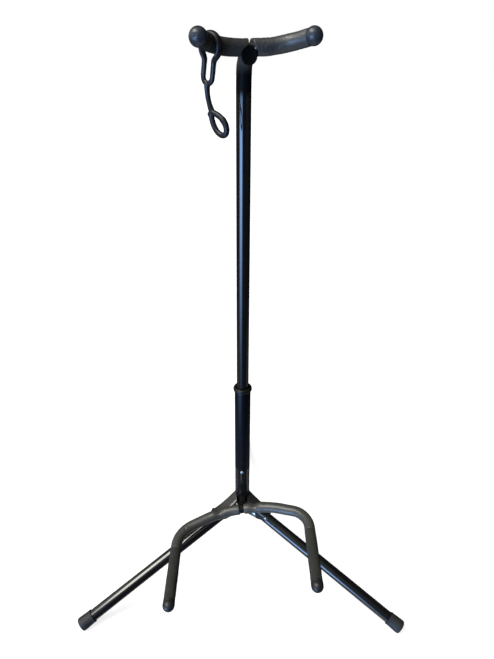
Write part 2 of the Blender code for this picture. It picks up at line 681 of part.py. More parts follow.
def build_neck(head, arms, shoe_top, finish):
    """Upper tube with its elbow, plug, rod, foam sleeves and ball ends."""
    bend = neck_path()
    points = [Vector((0, 0, shoe_top + GAP))] + bend
    inside = UPPER_TUBE_RADIUS - UPPER_TUBE_WALL
    tube = add("upper_tube", swept(points, UPPER_TUBE_RADIUS, TUBE_SIDES, inside), head, finish["black_lacquer"])

    reach = UPPER_TUBE_RADIUS * 2
    rod_room = [Vector((-reach, 0, 0)), Vector((reach, 0, 0))]
    cut(tube, swept(rod_room, NECK_ROD_RADIUS + GAP, ROD_SIDES), arms)

    nose = bend[-1]
    plug_bore = inside - GAP
    flange = UPPER_TUBE_RADIUS + 0.0003
    profile = [
        (0, -NECK_PLUG_DEPTH),
        (plug_bore, -NECK_PLUG_DEPTH),
        (plug_bore, GAP),
        (flange, GAP),
        (flange, NECK_PLUG_FLANGE - 0.0003),
        (flange - 0.0008, GAP + NECK_PLUG_FLANGE),
        (0, GAP + NECK_PLUG_FLANGE),
    ]
    plug = add("neck_plug", turned(profile, TUBE_SIDES), head, finish["moulded_black"], nose, (math.pi / 2, 0, 0))
    cut(plug, swept(rod_room, NECK_ROD_RADIUS + GAP, ROD_SIDES), arms)

    end_gap = 0.0015
    steps = 10
    places = [NECK_STRAIGHT + (NECK_CURVE_END - NECK_STRAIGHT) * k / steps for k in range(steps + 1)]
    outward = neck_direction(NECK_CURVE_END)
    end = neck_arm(NECK_CURVE_END) + outward * ((NECK_HALF_WIDTH - NECK_CURVE_END) / outward.x)
    right = [neck_arm(p) for p in [0.0] + places] + [end + outward * end_gap]
    mirror = Matrix.Diagonal((-1, 1, 1))
    left = [mirror @ p for p in right[:0:-1]]
    add("neck_rod", swept(left + right, NECK_ROD_RADIUS, ROD_SIDES), arms, finish["black_lacquer"])

    bore = NECK_ROD_RADIUS + GAP
    foam_stop = end - outward * (BALL_FLAT + GAP)
    inner_places = [NECK_FOAM_PART] + places
    foam_front = nose.y - NECK_FOAM_RADIUS
    rod_height = nose.z + NECK_ROD_LIFT
    room = bend[3:] + [Vector((0, foam_front, nose.z))]
    foam_top = rod_height + NECK_FOAM_RADIUS * 1.2
    narrow = NECK_FOAM_PART
    wide = NECK_NOTCH_HALF_WIDTH
    notch = [(-wide, nose.z), (wide, nose.z), (narrow, foam_top), (-narrow, foam_top)]
    for side, sign in (("left", -1), ("right", 1)):
        flip = Matrix.Diagonal((sign, 1, 1))
        line = [flip @ neck_arm(p) for p in inner_places] + [flip @ foam_stop]
        foam = swept(line, NECK_FOAM_RADIUS, SLEEVE_SIDES, bore)
        foam = add(f"neck_foam_{side}", foam, arms, finish["rough_foam"])
        cut(foam, swept([bend[0]] + room, UPPER_TUBE_RADIUS + 2 * GAP, TUBE_SIDES), head)
        cut(foam, prism(notch, foam_front, nose.y + NECK_ROD_SETBACK), head, (NECK_ROD_OFFSET, 0, 0))

        flat_radius = math.sqrt(BALL_RADIUS ** 2 - BALL_FLAT ** 2)
        low_angle = -math.degrees(math.asin(BALL_FLAT / BALL_RADIUS))
        profile = [(0, end_gap + GAP), (bore, end_gap + GAP), (bore, -BALL_FLAT), (flat_radius, -BALL_FLAT)]
        profile += arc_profile(BALL_RADIUS, 0.0, low_angle, 80, 9)[1:]
        profile += [(0, BALL_RADIUS)]
        ball = add(f"neck_ball_{side}", turned(profile, SLEEVE_SIDES), arms, finish["soft_rubber"], flip @ end)
        ball.rotation_mode = "QUATERNION"
        ball.rotation_quaternion = Vector((0, 0, 1)).rotation_difference(flip @ outward)


def eye_path():
    """Keyhole loop of the strap: round the arm, then two strands that join below."""
    half = STRAP_SLOT_SPREAD / 2
    radius = STRAP_EYE_RADIUS
    neck = math.asin(half / radius) * 1.35
    start = -math.pi / 2 + neck
    steps = 16
    angles = [start + (math.pi - 2 * start) * k / steps for k in range(steps + 1)]
    eye = [(radius * math.cos(a), radius * math.sin(a)) for a in angles]
    shoulder = -radius * math.cos(neck) - half * 0.75
    curve = -STRAP_LOOP_DROP + half
    turn = [math.radians(a) for a in (180, 216, 252, 270, 288, 324, 360)]
    bottom = [(half * math.cos(a), curve + half * math.sin(a)) for a in turn]
    return eye + [(-half, shoulder)] + bottom + [(half, shoulder)]


def leaned(point):
    """A point of the strap turned about its eye by the strap's lean."""
    lean = math.radians(STRAP_LEAN)
    return (point[0] * math.cos(lean) + point[1] * math.sin(lean), point[1] * math.cos(lean) - point[0] * math.sin(lean))


def build_strap(hang, finish):
    """The strap, flat in the plane across the arm: eye, band, knob and end ring."""
    def place(points):
        return [Vector((0, x, z)) for x, z in points]
    loop = swept(place([leaned(p) for p in eye_path()]), STRAP_CORD_RADIUS, STRAP_SIDES, closed=True)
    for vertex in loop.vertices:
        share = min(1.0, max(0.0, (vertex.co.z + STRAP_EYE_RADIUS * 1.6) / STRAP_EYE_RADIUS))
        vertex.co.x *= 1.0 + (STRAP_EYE_BREADTH - 1.0) * share
    strap = add("strap", loop, hang, finish["soft_rubber"])
    top = Vector(leaned((0, -STRAP_LOOP_DROP)))
    knob_at = top + Vector((STRAP_BAND_SWAY, -STRAP_BAND_DROP))
    middle = top + Vector((-STRAP_BAND_BOW, -STRAP_BAND_DROP / 2))
    steps = 8
    shares = [k / steps for k in range(steps + 1)]
    band = [top * (1 - t) ** 2 + middle * 2 * t * (1 - t) + knob_at * t ** 2 for t in shares]
    cut(strap, swept(place(band), STRAP_CORD_RADIUS, STRAP_SIDES), hang, operation="UNION")
    knob = turned([(0, -STRAP_KNOB_RADIUS)] + arc_profile(STRAP_KNOB_RADIUS, 0, -60, 60, 4) + [(0, STRAP_KNOB_RADIUS)],
                  ROD_SIDES)
    cut(strap, knob, hang, (0, knob_at.x, knob_at.y), operation="UNION")
    tilt = math.radians(STRAP_RING_TILT)
    along = Vector((math.sin(tilt), -math.cos(tilt)))
    across = Vector((math.cos(tilt), math.sin(tilt)))
    centre = knob_at + along * (STRAP_RING_LENGTH / 2 + STRAP_KNOB_RADIUS * 0.6)
    turn = [2 * math.pi * k / 18 for k in range(18)]
    ring = [centre + across * STRAP_RING_WIDTH / 2 * math.cos(a) + along * STRAP_RING_LENGTH / 2 * math.sin(a)
            for a in turn]
    ring = swept(place(ring), STRAP_RING_CORD_RADIUS, STRAP_SIDES, closed=True)
    cut(strap, ring, hang, operation="UNION")


def main():
    """Build the whole stand."""
    clear_scene()
    finish = make_materials()
    axis = empty("column_axis", None, (0, COLUMN_Y, 0))
    build_column(axis, finish)
    for side in LEG_HEADINGS:
        build_leg(side, axis, finish)
    build_yoke_mount(axis, finish)
    rock = empty("yoke_rock_axis", axis, (0, -YOKE_REACH, YOKE_HEIGHT), (0, -math.radians(YOKE_TILT), 0))
    build_yoke_clip(rock, finish)
    fold = empty("yoke_fold_axis", rock, (0, 0, 0), (math.radians(YOKE_DROOP), 0, 0))
    build_yoke(fold, finish)
    shoe_top = build_shoe(axis, finish)
    head = empty("column_swivel_axis", axis, (0, 0, 0), (0, 0, math.radians(NECK_SWIVEL)))
    roll = math.radians(NECK_ROD_ROLL)
    nose = neck_path()[-1]
    middle = Vector((NECK_ROD_OFFSET, nose.y + NECK_ROD_SETBACK, nose.z + NECK_ROD_LIFT))
    arms = empty("neck_rod_middle", head, middle, (0, -roll, 0))
    build_neck(head, arms, shoe_top, finish)
    across = Matrix.Diagonal((-1, 1, 1))
    rolled = Matrix.Rotation(-roll, 3, "Y")
    eye = middle + rolled @ (across @ neck_arm(STRAP_PLACE))
    along = rolled @ (across @ neck_direction(STRAP_PLACE))
    yaw = math.atan2(along.y, along.x)
    slack = STRAP_EYE_RADIUS - STRAP_CORD_RADIUS - NECK_FOAM_RADIUS - GAP
    hang = empty("strap_swing_axis", head, eye - Vector((0, 0, slack)), (0, 0, yaw))
    build_strap(hang, finish)


main()
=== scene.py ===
"""Looks of a folding guitar stand: a three-legged base, a padded lower yoke and a padded neck yoke.

Metres, +Z up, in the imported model's own frame. Each piece is a surface worked out on a grid, and its place
is in its mesh.
"""
import math

import bpy
import numpy as np
from mathutils import Matrix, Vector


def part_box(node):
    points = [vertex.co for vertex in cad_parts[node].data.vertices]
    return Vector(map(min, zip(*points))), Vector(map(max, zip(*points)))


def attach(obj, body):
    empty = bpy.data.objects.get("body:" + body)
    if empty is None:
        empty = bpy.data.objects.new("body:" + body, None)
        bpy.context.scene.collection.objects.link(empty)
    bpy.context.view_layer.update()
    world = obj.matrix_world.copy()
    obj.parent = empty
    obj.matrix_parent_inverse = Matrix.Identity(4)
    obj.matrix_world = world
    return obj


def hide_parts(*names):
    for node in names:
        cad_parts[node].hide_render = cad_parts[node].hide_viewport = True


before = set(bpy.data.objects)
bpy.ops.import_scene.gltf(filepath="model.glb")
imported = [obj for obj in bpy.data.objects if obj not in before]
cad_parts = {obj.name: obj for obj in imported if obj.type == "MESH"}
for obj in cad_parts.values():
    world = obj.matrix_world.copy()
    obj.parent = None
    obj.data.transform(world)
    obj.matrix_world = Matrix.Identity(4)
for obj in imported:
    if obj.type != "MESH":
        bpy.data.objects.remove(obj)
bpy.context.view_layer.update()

# Sizes that the solids have, in metres and degrees
COLUMN_Y = float(sum(corner[1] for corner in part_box("lower_tube")) / 2)
LOWER_RADIUS = 0.0108
LOWER_BOTTOM = 0.119
LOWER_TOP = 0.3270
UPPER_RADIUS = 0.008
STOP_RIVET_HEIGHT = 0.1855
LEG_SLOPE = 23.286
LEG_HINGE_REACH = 0.0265
LEG_HINGE_HEIGHT = 0.11039
LEG_RADIUS = 0.008
LEG_HEADINGS = {"left": -150.0, "right": -30.0, "rear": 90.0}
FOOT_REACH = 0.266
LEG_END = (FOOT_REACH - LEG_HINGE_REACH) / math.cos(math.radians(LEG_SLOPE))
YOKE_REACH = 0.0325
YOKE_HEIGHT = 0.1330
YOKE_TILT = 12.4
YOKE_DROOP = 2.9
NECK_SWIVEL = 18.0
NECK_ROLL = 1.5
LEG_CROSSING_HEIGHT = 0.1218
LOWER_WALL = 0.0015
UPPER_WALL = 0.0011
LEG_WALL = 0.0012
ROD_RADIUS = 0.0040
ROD_BORE = 0.0041
SEAT_GAP = 0.0003


# Arrays of points


def turn_about(axis, degrees):
    """Rotation matrix about the x, y or z axis."""
    c = math.cos(math.radians(degrees))
    s = math.sin(math.radians(degrees))
    if axis == "x":
        return np.array(((1, 0, 0), (0, c, -s), (0, s, c)))
    if axis == "y":
        return np.array(((c, 0, s), (0, 1, 0), (-s, 0, c)))
    return np.array(((c, -s, 0), (s, c, 0), (0, 0, 1)))


def seated(points, seat):
    """Points of a local frame put where the seat (rotation, origin) is: rotation times point, plus origin."""
    rotation, origin = seat
    return points @ rotation.T + origin


def inside(seat, rotation, origin):
    """A seat given within another seat."""
    outer, place = seat
    return outer @ rotation, outer @ np.asarray(origin, float) + place


def unit(vectors):
    """Vectors divided by their own lengths."""
    return vectors / np.maximum(np.linalg.norm(vectors, axis=-1, keepdims=True), 1e-12)


def waves(points, size, seed, count):
    """Smooth noise about 0: a mean of plane waves about size long, with seeded headings and phases."""
    pick = np.random.default_rng(seed)
    headings = unit(pick.normal(size=(count, 3)))
    lengths = size * pick.uniform(0.6, 1.7, count)
    phases = pick.uniform(0, 2 * math.pi, count)
    swing = (points @ headings.T) * (2 * math.pi / lengths) + phases
    return np.sin(swing).mean(axis=-1) * 1.8


def bump(values, centre, width):
    """A bell from 0 to 1: e to the minus square of the distance from centre over width."""
    return np.exp(-((values - centre) / width) ** 2)


def rise(values, low, high):
    """Smooth step from 0 at low to 1 at high: 3 t squared minus 2 t cubed."""
    t = np.clip((values - low) / (high - low), 0, 1)
    return t * t * (3 - 2 * t)


def softened(corners, radius, steps=4):
    """Profile corners rounded off, each by a quadratic curve from a radius before it to a radius after."""
    corners = np.asarray(corners, float)
    before = np.roll(corners, 1, axis=0)
    after = np.roll(corners, -1, axis=0)
    radius = np.broadcast_to(np.asarray(radius, float), len(corners))[:, None]
    back = np.minimum(radius, 0.45 * np.linalg.norm(before - corners, axis=1, keepdims=True))
    on = np.minimum(radius, 0.45 * np.linalg.norm(after - corners, axis=1, keepdims=True))
    first = corners + unit(before - corners) * back
    last = corners + unit(after - corners) * on
    t = np.linspace(0, 1, steps + 1)[None, :, None]
    curve = (1 - t) ** 2 * first[:, None] + 2 * t * (1 - t) * corners[:, None] + t ** 2 * last[:, None]
    return curve.reshape(-1, 2)


def walked(runs, step=0.0008):
    """Points of a flat line made of (length, turn) runs, heading first along +x, turns in degrees."""
    headings = []
    lengths = []
    heading = 0.0
    for length, turn in runs:
        count = max(1, int(round(length / step)))
        headings.append(heading + np.radians(turn) * (np.arange(count) + 0.5) / count)
        lengths.append(np.full(count, length / count))
        heading += math.radians(turn)
    headings = np.concatenate(headings)
    lengths = np.concatenate(lengths)
    moves = lengths[:, None] * np.stack((np.cos(headings), np.sin(headings)), axis=1)
    return np.concatenate((np.zeros((1, 2)), np.cumsum(moves, axis=0)))


def followed(path, guide, station):
    """Centre, side and up directions at distances along a path; side is across the path and the guide."""
    steps = np.linalg.norm(np.diff(path, axis=0), axis=1)
    length = np.concatenate(([0.0], np.cumsum(steps)))
    tangent = np.gradient(path, length, axis=0)
    centre = np.stack([np.interp(station, length, path[:, k]) for k in range(3)], axis=-1)
    heading = unit(np.stack([np.interp(station, length, tangent[:, k]) for k in range(3)], axis=-1))
    side = unit(np.cross(heading, np.asarray(guide, float)))
    return centre, side, np.cross(side, heading)


def path_length(path):
    """Sum of the distances between neighbours of a path."""
    return float(np.linalg.norm(np.diff(path, axis=0), axis=1).sum())


def around(sides):
    """Angles of a ring of points, from the bottom round."""
    return np.linspace(0, 2 * math.pi, sides, endpoint=False) - math.pi / 2


def skin(path, guide, station, radius, angles):
    """Grid of points at a radius round a path: centre plus radius times (cos side + sin up)."""
    station = np.broadcast_to(station, np.broadcast_shapes(np.shape(station), (1, len(angles))))
    centre, side, up = followed(path, guide, station)
    radius = np.broadcast_to(radius, station.shape)[..., None]
    return centre + radius * (np.cos(angles)[:, None] * side + np.sin(angles)[:, None] * up)


def lathed(profile, sides):
    """Grid of a (radius, height) profile turned about z: radius cos, radius sin, height."""
    angles = around(sides)
    profile = np.asarray(profile, float)
    x = profile[:, :1] * np.cos(angles)
    y = profile[:, :1] * np.sin(angles)
    return np.stack((x, y, np.broadcast_to(profile[:, 1:], x.shape)), axis=-1)


def domed(radius, low, height, steps, power=2.0):
    """Profile of a dome from its rim to nearly its crown: radius cos t, low plus height sin t."""
    t = np.linspace(0, math.radians(86), steps)
    return np.stack((radius * np.cos(t) ** (2 / power), low + height * np.sin(t)), axis=1)


# Meshes from grids


def grid_faces(rows, columns, close_rows, close_columns):
    """Corner numbers of the quads between neighbours of a grid."""
    i = np.arange(rows if close_rows else rows - 1)[:, None]
    j = np.arange(columns if close_columns else columns - 1)[None, :]
    nxt = (i + 1) % rows
    side = (j + 1) % columns
    quads = np.stack((i * columns + j, i * columns + side, nxt * columns + side, nxt * columns + j), axis=-1)
    return quads.reshape(-1, 4)


def cap_faces(ring, pole, flip):
    """Triangles from a ring's points to a pole."""
    after = np.roll(ring, -1)
    first, second = (after, ring) if flip else (ring, after)
    return np.stack((first, second, np.full(len(ring), pole)), axis=1)


def shell(grid, close_rows=False):
    """Points and faces of a grid whose columns go round, its ends closed by poles or into each other."""
    rows, columns = grid.shape[:2]
    points = grid.reshape(-1, 3)
    faces = grid_faces(rows, columns, close_rows, True).tolist()
    if not close_rows:
        poles = np.stack((grid[0].mean(axis=0), grid[-1].mean(axis=0)))
        first = cap_faces(np.arange(columns), len(points), True)
        last = cap_faces(np.arange(columns) + (rows - 1) * columns, len(points) + 1, False)
        points = np.concatenate((points, poles))
        faces += first.tolist() + last.tolist()
    return points, faces


def volume(points, faces):
    """Signed volume in a closed shell: a sixth of the sum of its triangles' corner triple products."""
    tris = [(f[0], f[k], f[k + 1]) for f in faces for k in range(1, len(f) - 1)]
    a, b, c = points[np.array(tris)].transpose(1, 0, 2)
    return float(np.einsum("ij,ij->i", a, np.cross(b, c)).sum() / 6)


def joined(parts):
    """Several shells as one, each facing outwards."""
    points = []
    faces = []
    start = 0
    for some, corners in parts:
        if volume(some, corners) < 0:
            corners = [f[::-1] for f in corners]
        points.append(some)
        faces += [[k + start for k in f] for f in corners]
        start += len(some)
    return np.concatenate(points), faces


def added(name, data):
    """A new object in the scene."""
    item = bpy.data.objects.new(name, data)
    bpy.context.scene.collection.objects.link(item)
    return item


def rider(name, points, faces, finish_used, body, stands_for):
    """An object with a smooth mesh, which rides on a body and stands for its solids."""
    mesh = bpy.data.meshes.new(name)
    mesh.from_pydata(points.tolist(), [], faces)
    mesh.validate()
    mesh.shade_smooth()
    mesh.materials.append(finish_used)
    item = added(name, mesh)
    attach(item, body)
    if stands_for:
        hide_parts(*stands_for)
    return item


def piece(name, parts, seat, finish_used, body, stands_for):
    """One named object from shells given in a seat's frame, with its corners kept sharp."""
    points, faces = joined(parts)
    item = rider(name, seated(points, seat), faces, finish_used, body, stands_for)
    item.data.set_sharp_from_angle(angle=math.radians(40))
    return item


# Finishes


def new_group(name, inputs, outputs):
    """An empty shader node group with named inputs (name, kind, value) and outputs (name, kind)."""
    group = bpy.data.node_groups.new(name, "ShaderNodeTree")
    for label, kind, value in inputs:
        socket = group.interface.new_socket(label, in_out="INPUT", socket_type=kind)
        socket.default_value = value
    for label, kind in outputs:
        group.interface.new_socket(label, in_out="OUTPUT", socket_type=kind)
    start = group.nodes.new("NodeGroupInput")
    end = group.nodes.new("NodeGroupOutput")
    return group, start, end


def feed(tree, socket, value):
    """A socket given a number, a colour's red, green and blue, or a link from another socket."""
    if isinstance(value, (int, float)):
        socket.default_value = value
    elif isinstance(value, tuple):
        socket.default_value = (*value, 1.0)
    else:
        tree.links.new(value, socket)


def noise(tree, vector, scale, detail=3.0, roughness=0.5):
    """A noise texture on a vector; scale is a socket or waves per metre."""
    node = tree.nodes.new("ShaderNodeTexNoise")
    node.inputs["Detail"].default_value = detail
    node.inputs["Roughness"].default_value = roughness
    tree.links.new(vector, node.inputs["Vector"])
    feed(tree, node.inputs["Scale"], scale)
    return node.outputs["Fac"]


def calc(tree, operation, first, second=None, third=None, clamp=False):
    """A math node on sockets or numbers."""
    node = tree.nodes.new("ShaderNodeMath")
    node.operation = operation
    node.use_clamp = clamp
    for socket, value in zip(node.inputs, (first, second, third)):
        if value is not None:
            feed(tree, socket, value)
    return node.outputs[0]


def spread(tree, value, low, high, to_low=0.0, to_high=1.0):
    """Smooth map of a value between low and high to another range, held at its ends."""
    node = tree.nodes.new("ShaderNodeMapRange")
    node.interpolation_type = "SMOOTHSTEP"
    node.inputs["From Min"].default_value = low
    node.inputs["From Max"].default_value = high
    node.inputs["To Min"].default_value = to_low
    node.inputs["To Max"].default_value = to_high
    tree.links.new(value, node.inputs["Value"])
    return node.outputs["Result"]


def blended(tree, share, first, second):
    """A colour mix by a share; each colour is a socket or its red, green and blue."""
    node = tree.nodes.new("ShaderNodeMix")
    node.data_type = "RGBA"
    tree.links.new(share, node.inputs["Factor"])
    feed(tree, node.inputs[6], first)
    feed(tree, node.inputs[7], second)
    return node.outputs[2]


def make_skin_group():
    """Fine surface grain: two octaves of noise and a little pitting, put out as a height."""
    group, start, end = new_group("surface_grain", [("Scale", "NodeSocketFloat", 900.0),
                                                    ("Pits", "NodeSocketFloat", 0.2)],
                                  [("Height", "NodeSocketFloat")])
    where = group.nodes.new("ShaderNodeTexCoord").outputs["Object"]
    fine = noise(group, where, start.outputs["Scale"], 4.0, 0.6)
    cells = group.nodes.new("ShaderNodeTexVoronoi")
    group.links.new(where, cells.inputs["Vector"])
    group.links.new(calc(group, "MULTIPLY", start.outputs["Scale"], 1.7), cells.inputs["Scale"])
    pits = spread(group, cells.outputs["Distance"], 0.0, 0.35, -1.0, 0.0)
    height = calc(group, "MULTIPLY_ADD", pits, start.outputs["Pits"], fine)
    group.links.new(height, end.inputs["Height"])
    return group


def make_handling_group():
    """Use marks: broad smears and dust specks that shift a colour and a roughness."""
    inputs = [("Colour", "NodeSocketColor", (0.02, 0.02, 0.02, 1)),
              ("Dust", "NodeSocketColor", (0.2, 0.2, 0.19, 1)),
              ("Dust Amount", "NodeSocketFloat", 0.1), ("Roughness", "NodeSocketFloat", 0.3),
              ("Smear", "NodeSocketFloat", 0.1), ("Scale", "NodeSocketFloat", 30.0)]
    outputs = [("Colour", "NodeSocketColor"), ("Roughness", "NodeSocketFloat"), ("Mask", "NodeSocketFloat")]
    group, start, end = new_group("handling_marks", inputs, outputs)
    where = group.nodes.new("ShaderNodeTexCoord").outputs["Object"]
    broad = noise(group, where, start.outputs["Scale"], 4.0, 0.55)
    specks = noise(group, where, calc(group, "MULTIPLY", start.outputs["Scale"], 40.0), 2.0, 0.5)
    speck_mask = spread(group, specks, 0.62, 0.76)
    broad_mask = spread(group, broad, 0.42, 0.72)
    mask = calc(group, "MULTIPLY_ADD", speck_mask, 0.6, calc(group, "MULTIPLY", broad_mask, 0.5), clamp=True)
    dusty = calc(group, "MULTIPLY", mask, start.outputs["Dust Amount"], clamp=True)
    colour = blended(group, dusty, start.outputs["Colour"], start.outputs["Dust"])
    shift = calc(group, "MULTIPLY", calc(group, "SUBTRACT", broad, 0.5), start.outputs["Smear"])
    rough = calc(group, "MULTIPLY_ADD", dusty, 0.5, start.outputs["Roughness"])
    rough = calc(group, "ADD", rough, shift, clamp=True)
    group.links.new(colour, end.inputs["Colour"])
    group.links.new(rough, end.inputs["Roughness"])
    group.links.new(mask, end.inputs["Mask"])
    return group


GRAIN = make_skin_group()
MARKS = make_handling_group()


def finish(name, colour, roughness, grain=900.0, pits=0.2, depth=0.00005, strength=0.4, dust=0.08,
           dust_colour=(0.16, 0.16, 0.15), smear=0.12, scale=30.0, metallic=0.0, coat=0.0, coat_roughness=0.1,
           specular=0.5, coat_top=None, painted_glow_top=None):
    """A material with use marks on its colour and roughness and grain on its normal. Between two heights its
    coat may fade out (coat_top), and its colour may turn paler as a painted glow of light (the last argument:
    the colour, low and high)."""
    material = bpy.data.materials.new(name)
    material.use_nodes = True
    tree = material.node_tree
    shader = tree.nodes["Principled BSDF"]
    shader.inputs["Metallic"].default_value = metallic
    shader.inputs["Coat Weight"].default_value = coat
    shader.inputs["Coat Roughness"].default_value = coat_roughness
    shader.inputs["Specular IOR Level"].default_value = specular
    if coat_top or painted_glow_top:
        split = tree.nodes.new("ShaderNodeSeparateXYZ")
        tree.links.new(tree.nodes.new("ShaderNodeTexCoord").outputs["Object"], split.inputs[0])
        height = split.outputs[2]
    if coat_top:
        tree.links.new(spread(tree, height, *coat_top, coat, 0.0), shader.inputs["Coat Weight"])
    marks = tree.nodes.new("ShaderNodeGroup")
    marks.node_tree = MARKS
    values = (("Colour", (*colour, 1)), ("Dust", (*dust_colour, 1)), ("Dust Amount", dust),
              ("Roughness", roughness), ("Smear", smear), ("Scale", scale))
    for label, value in values:
        marks.inputs[label].default_value = value
    colour = marks.outputs["Colour"]
    # Painted glow: between two heights the colour lightens to stand in for reflected light.
    if painted_glow_top:
        pale, low, high = painted_glow_top
        colour = blended(tree, spread(tree, height, low, high), colour, pale)
    tree.links.new(colour, shader.inputs["Base Color"])
    tree.links.new(marks.outputs["Roughness"], shader.inputs["Roughness"])
    grains = tree.nodes.new("ShaderNodeGroup")
    grains.node_tree = GRAIN
    grains.inputs["Scale"].default_value = grain
    grains.inputs["Pits"].default_value = pits
    relief = tree.nodes.new("ShaderNodeBump")
    relief.inputs["Distance"].default_value = depth
    relief.inputs["Strength"].default_value = strength
    tree.links.new(grains.outputs["Height"], relief.inputs["Height"])
    tree.links.new(relief.outputs["Normal"], shader.inputs["Normal"])
    return material


LACQUER = finish("black_lacquer", (0.0050, 0.0054, 0.0064), 0.20, grain=420.0, pits=0.0, depth=0.00002,
                 strength=0.25, dust=0.03, smear=0.10, scale=14.0, coat=0.5, coat_roughness=0.07)
# Near the elbow's top this colour turns warm and pale: a painted glow of reflected light, not paler lacquer.
COLUMN_LACQUER = finish("column_lacquer", (0.0036, 0.0039, 0.0046), 0.50, grain=420.0, pits=0.0,
                        depth=0.00002, strength=0.2, dust=0.02, smear=0.10, scale=14.0, coat=1.0,
                        coat_roughness=0.15, specular=0.05, coat_top=(0.690, 0.699),
                        painted_glow_top=((0.085, 0.078, 0.068), 0.711, 0.730))
WRAP = finish("wrap_film", (0.0022, 0.0033, 0.0062), 0.40, grain=700.0, pits=0.05, depth=0.00002,
              strength=0.3, dust=0.03, smear=0.10, scale=22.0, specular=0.12)
PLATE = finish("bracket_paint", (0.0215, 0.0222, 0.0225), 0.34, grain=800.0, pits=0.1, depth=0.00004,
               strength=0.45, dust=0.10, smear=0.14, scale=40.0, coat=0.3, coat_roughness=0.18)
NYLON = finish("moulded_black", (0.0032, 0.0034, 0.0038), 0.36, grain=1200.0, pits=0.1, depth=0.00003,
               strength=0.35, dust=0.03, scale=45.0, specular=0.32)
STEEL = finish("rivet_steel", (0.56, 0.56, 0.55), 0.28, grain=1500.0, pits=0.1, depth=0.00002, strength=0.3,
               dust=0.25, dust_colour=(0.06, 0.055, 0.05), smear=0.25, scale=160.0, metallic=1.0)
FOOT = finish("foot_rubber", (0.012, 0.0129, 0.0146), 0.62, grain=1100.0, pits=0.25, depth=0.00008,
              strength=0.5, dust=0.16, scale=50.0)
SLEEVE = finish("smooth_cover", (0.048, 0.0484, 0.0462), 0.40, grain=1300.0, pits=0.1, depth=0.00004,
                strength=0.35, dust=0.10, smear=0.14, scale=35.0)
FOAM = finish("rough_foam", (0.0188, 0.0193, 0.0163), 0.88, grain=1500.0, pits=0.9, depth=0.00030,
              strength=0.9, dust=0.18, dust_colour=(0.10, 0.10, 0.09), scale=60.0)
# The two neck sleeves are one foam. The left takes neck_foam, and the right a lighter copy whose lighter
# colour is painted light.
NECK_FOAM = finish("neck_foam", (0.0215, 0.0205, 0.0180), 0.62, grain=1300.0, pits=0.7, depth=0.00022,
                   strength=0.8, dust=0.14, dust_colour=(0.12, 0.12, 0.11), scale=70.0, specular=0.35)
LIT_NECK_FOAM = finish("neck_foam_painted_light", (0.043, 0.0415, 0.037), 0.40, grain=1300.0, pits=0.6, depth=0.00018,
                    strength=0.7, dust=0.20, dust_colour=(0.16, 0.17, 0.18), scale=70.0, specular=0.6)
TIP = finish("arm_tip", (0.0085, 0.0095, 0.0112), 0.46, grain=1000.0, pits=0.2, depth=0.00006,
             strength=0.45, dust=0.08, scale=60.0)
RUBBER = finish("soft_rubber", (0.021, 0.0245, 0.031), 0.36, grain=1000.0, pits=0.2, depth=0.00006,
                strength=0.45, dust=0.12, scale=60.0)
PLUG = finish("elbow_plug", (0.0016, 0.0016, 0.0017), 0.60, grain=1200.0, pits=0.1, depth=0.00003,
              strength=0.3, dust=0.01, scale=45.0, specular=0.12)
STRAP = finish("strap_rubber", (0.0060, 0.0072, 0.0098), 0.40, grain=900.0, pits=0.15, depth=0.00005,
               strength=0.4, dust=0.06, scale=50.0, specular=0.34)

COLUMN = (np.eye(3), np.array((0.0, COLUMN_Y, 0.0)))


# Column and base

FILM_BOTTOM = 0.1895
FILM_THICKNESS = 0.00016
FILM_LAP = 0.00012
FILM_SINK = 0.00003
COLLAR_BORE = UPPER_RADIUS + 0.0003
COLLAR_SHANK = 0.0090
COLLAR_DEPTH = 0.030
PLUG_SHANK = 0.0090
PLUG_DEPTH = 0.024
PLUG_HEAD = 0.0106
PLUG_FLANGE = 0.0046

tube = softened([(LOWER_RADIUS - LOWER_WALL, LOWER_BOTTOM), (LOWER_RADIUS, LOWER_BOTTOM),
                 (LOWER_RADIUS, LOWER_TOP), (LOWER_RADIUS - LOWER_WALL, LOWER_TOP)], 0.0004)
piece("column_lower_tube", [shell(lathed(tube, 80), close_rows=True)], COLUMN, LACQUER, "base",
      ["lower_tube"])

# Thin film round the tube's upper part, thicker where its end laps over behind
angles = around(96)
film_top = LOWER_TOP - 0.0008
film = softened([(0, FILM_BOTTOM), (FILM_THICKNESS, FILM_BOTTOM), (FILM_THICKNESS, film_top), (0, film_top)],
                0.00008, 2)
lap_start = rise(angles, math.radians(70), math.radians(72))
lap_end = rise(angles, math.radians(92), math.radians(94))
lap = FILM_LAP * lap_start * (1 - lap_end)
reach = LOWER_RADIUS - FILM_SINK + film[:, :1] * (1 + lap / FILM_THICKNESS)
film_height = np.broadcast_to(film[:, 1:], reach.shape)
film_grid = np.stack((reach * np.cos(angles), reach * np.sin(angles), film_height), axis=-1)
piece("column_wrap", [shell(film_grid, close_rows=True)], COLUMN, WRAP, "base", [])

lip = LOWER_TOP + SEAT_GAP
collar = softened([(COLLAR_BORE, lip - COLLAR_DEPTH), (COLLAR_SHANK, lip - COLLAR_DEPTH), (COLLAR_SHANK, lip),
                   (0.0112, lip), (0.01265, lip + 0.0012), (0.01265, lip + 0.0046), (0.0114, lip + 0.0062),
                   (COLLAR_BORE, lip + 0.0062)],
                  [0.0003, 0.0003, 0.0001, 0.0003, 0.0009, 0.0013, 0.0008, 0.0003], 5)
piece("column_collar", [shell(lathed(collar, 80), close_rows=True)], COLUMN, NYLON, "base", ["collar"])

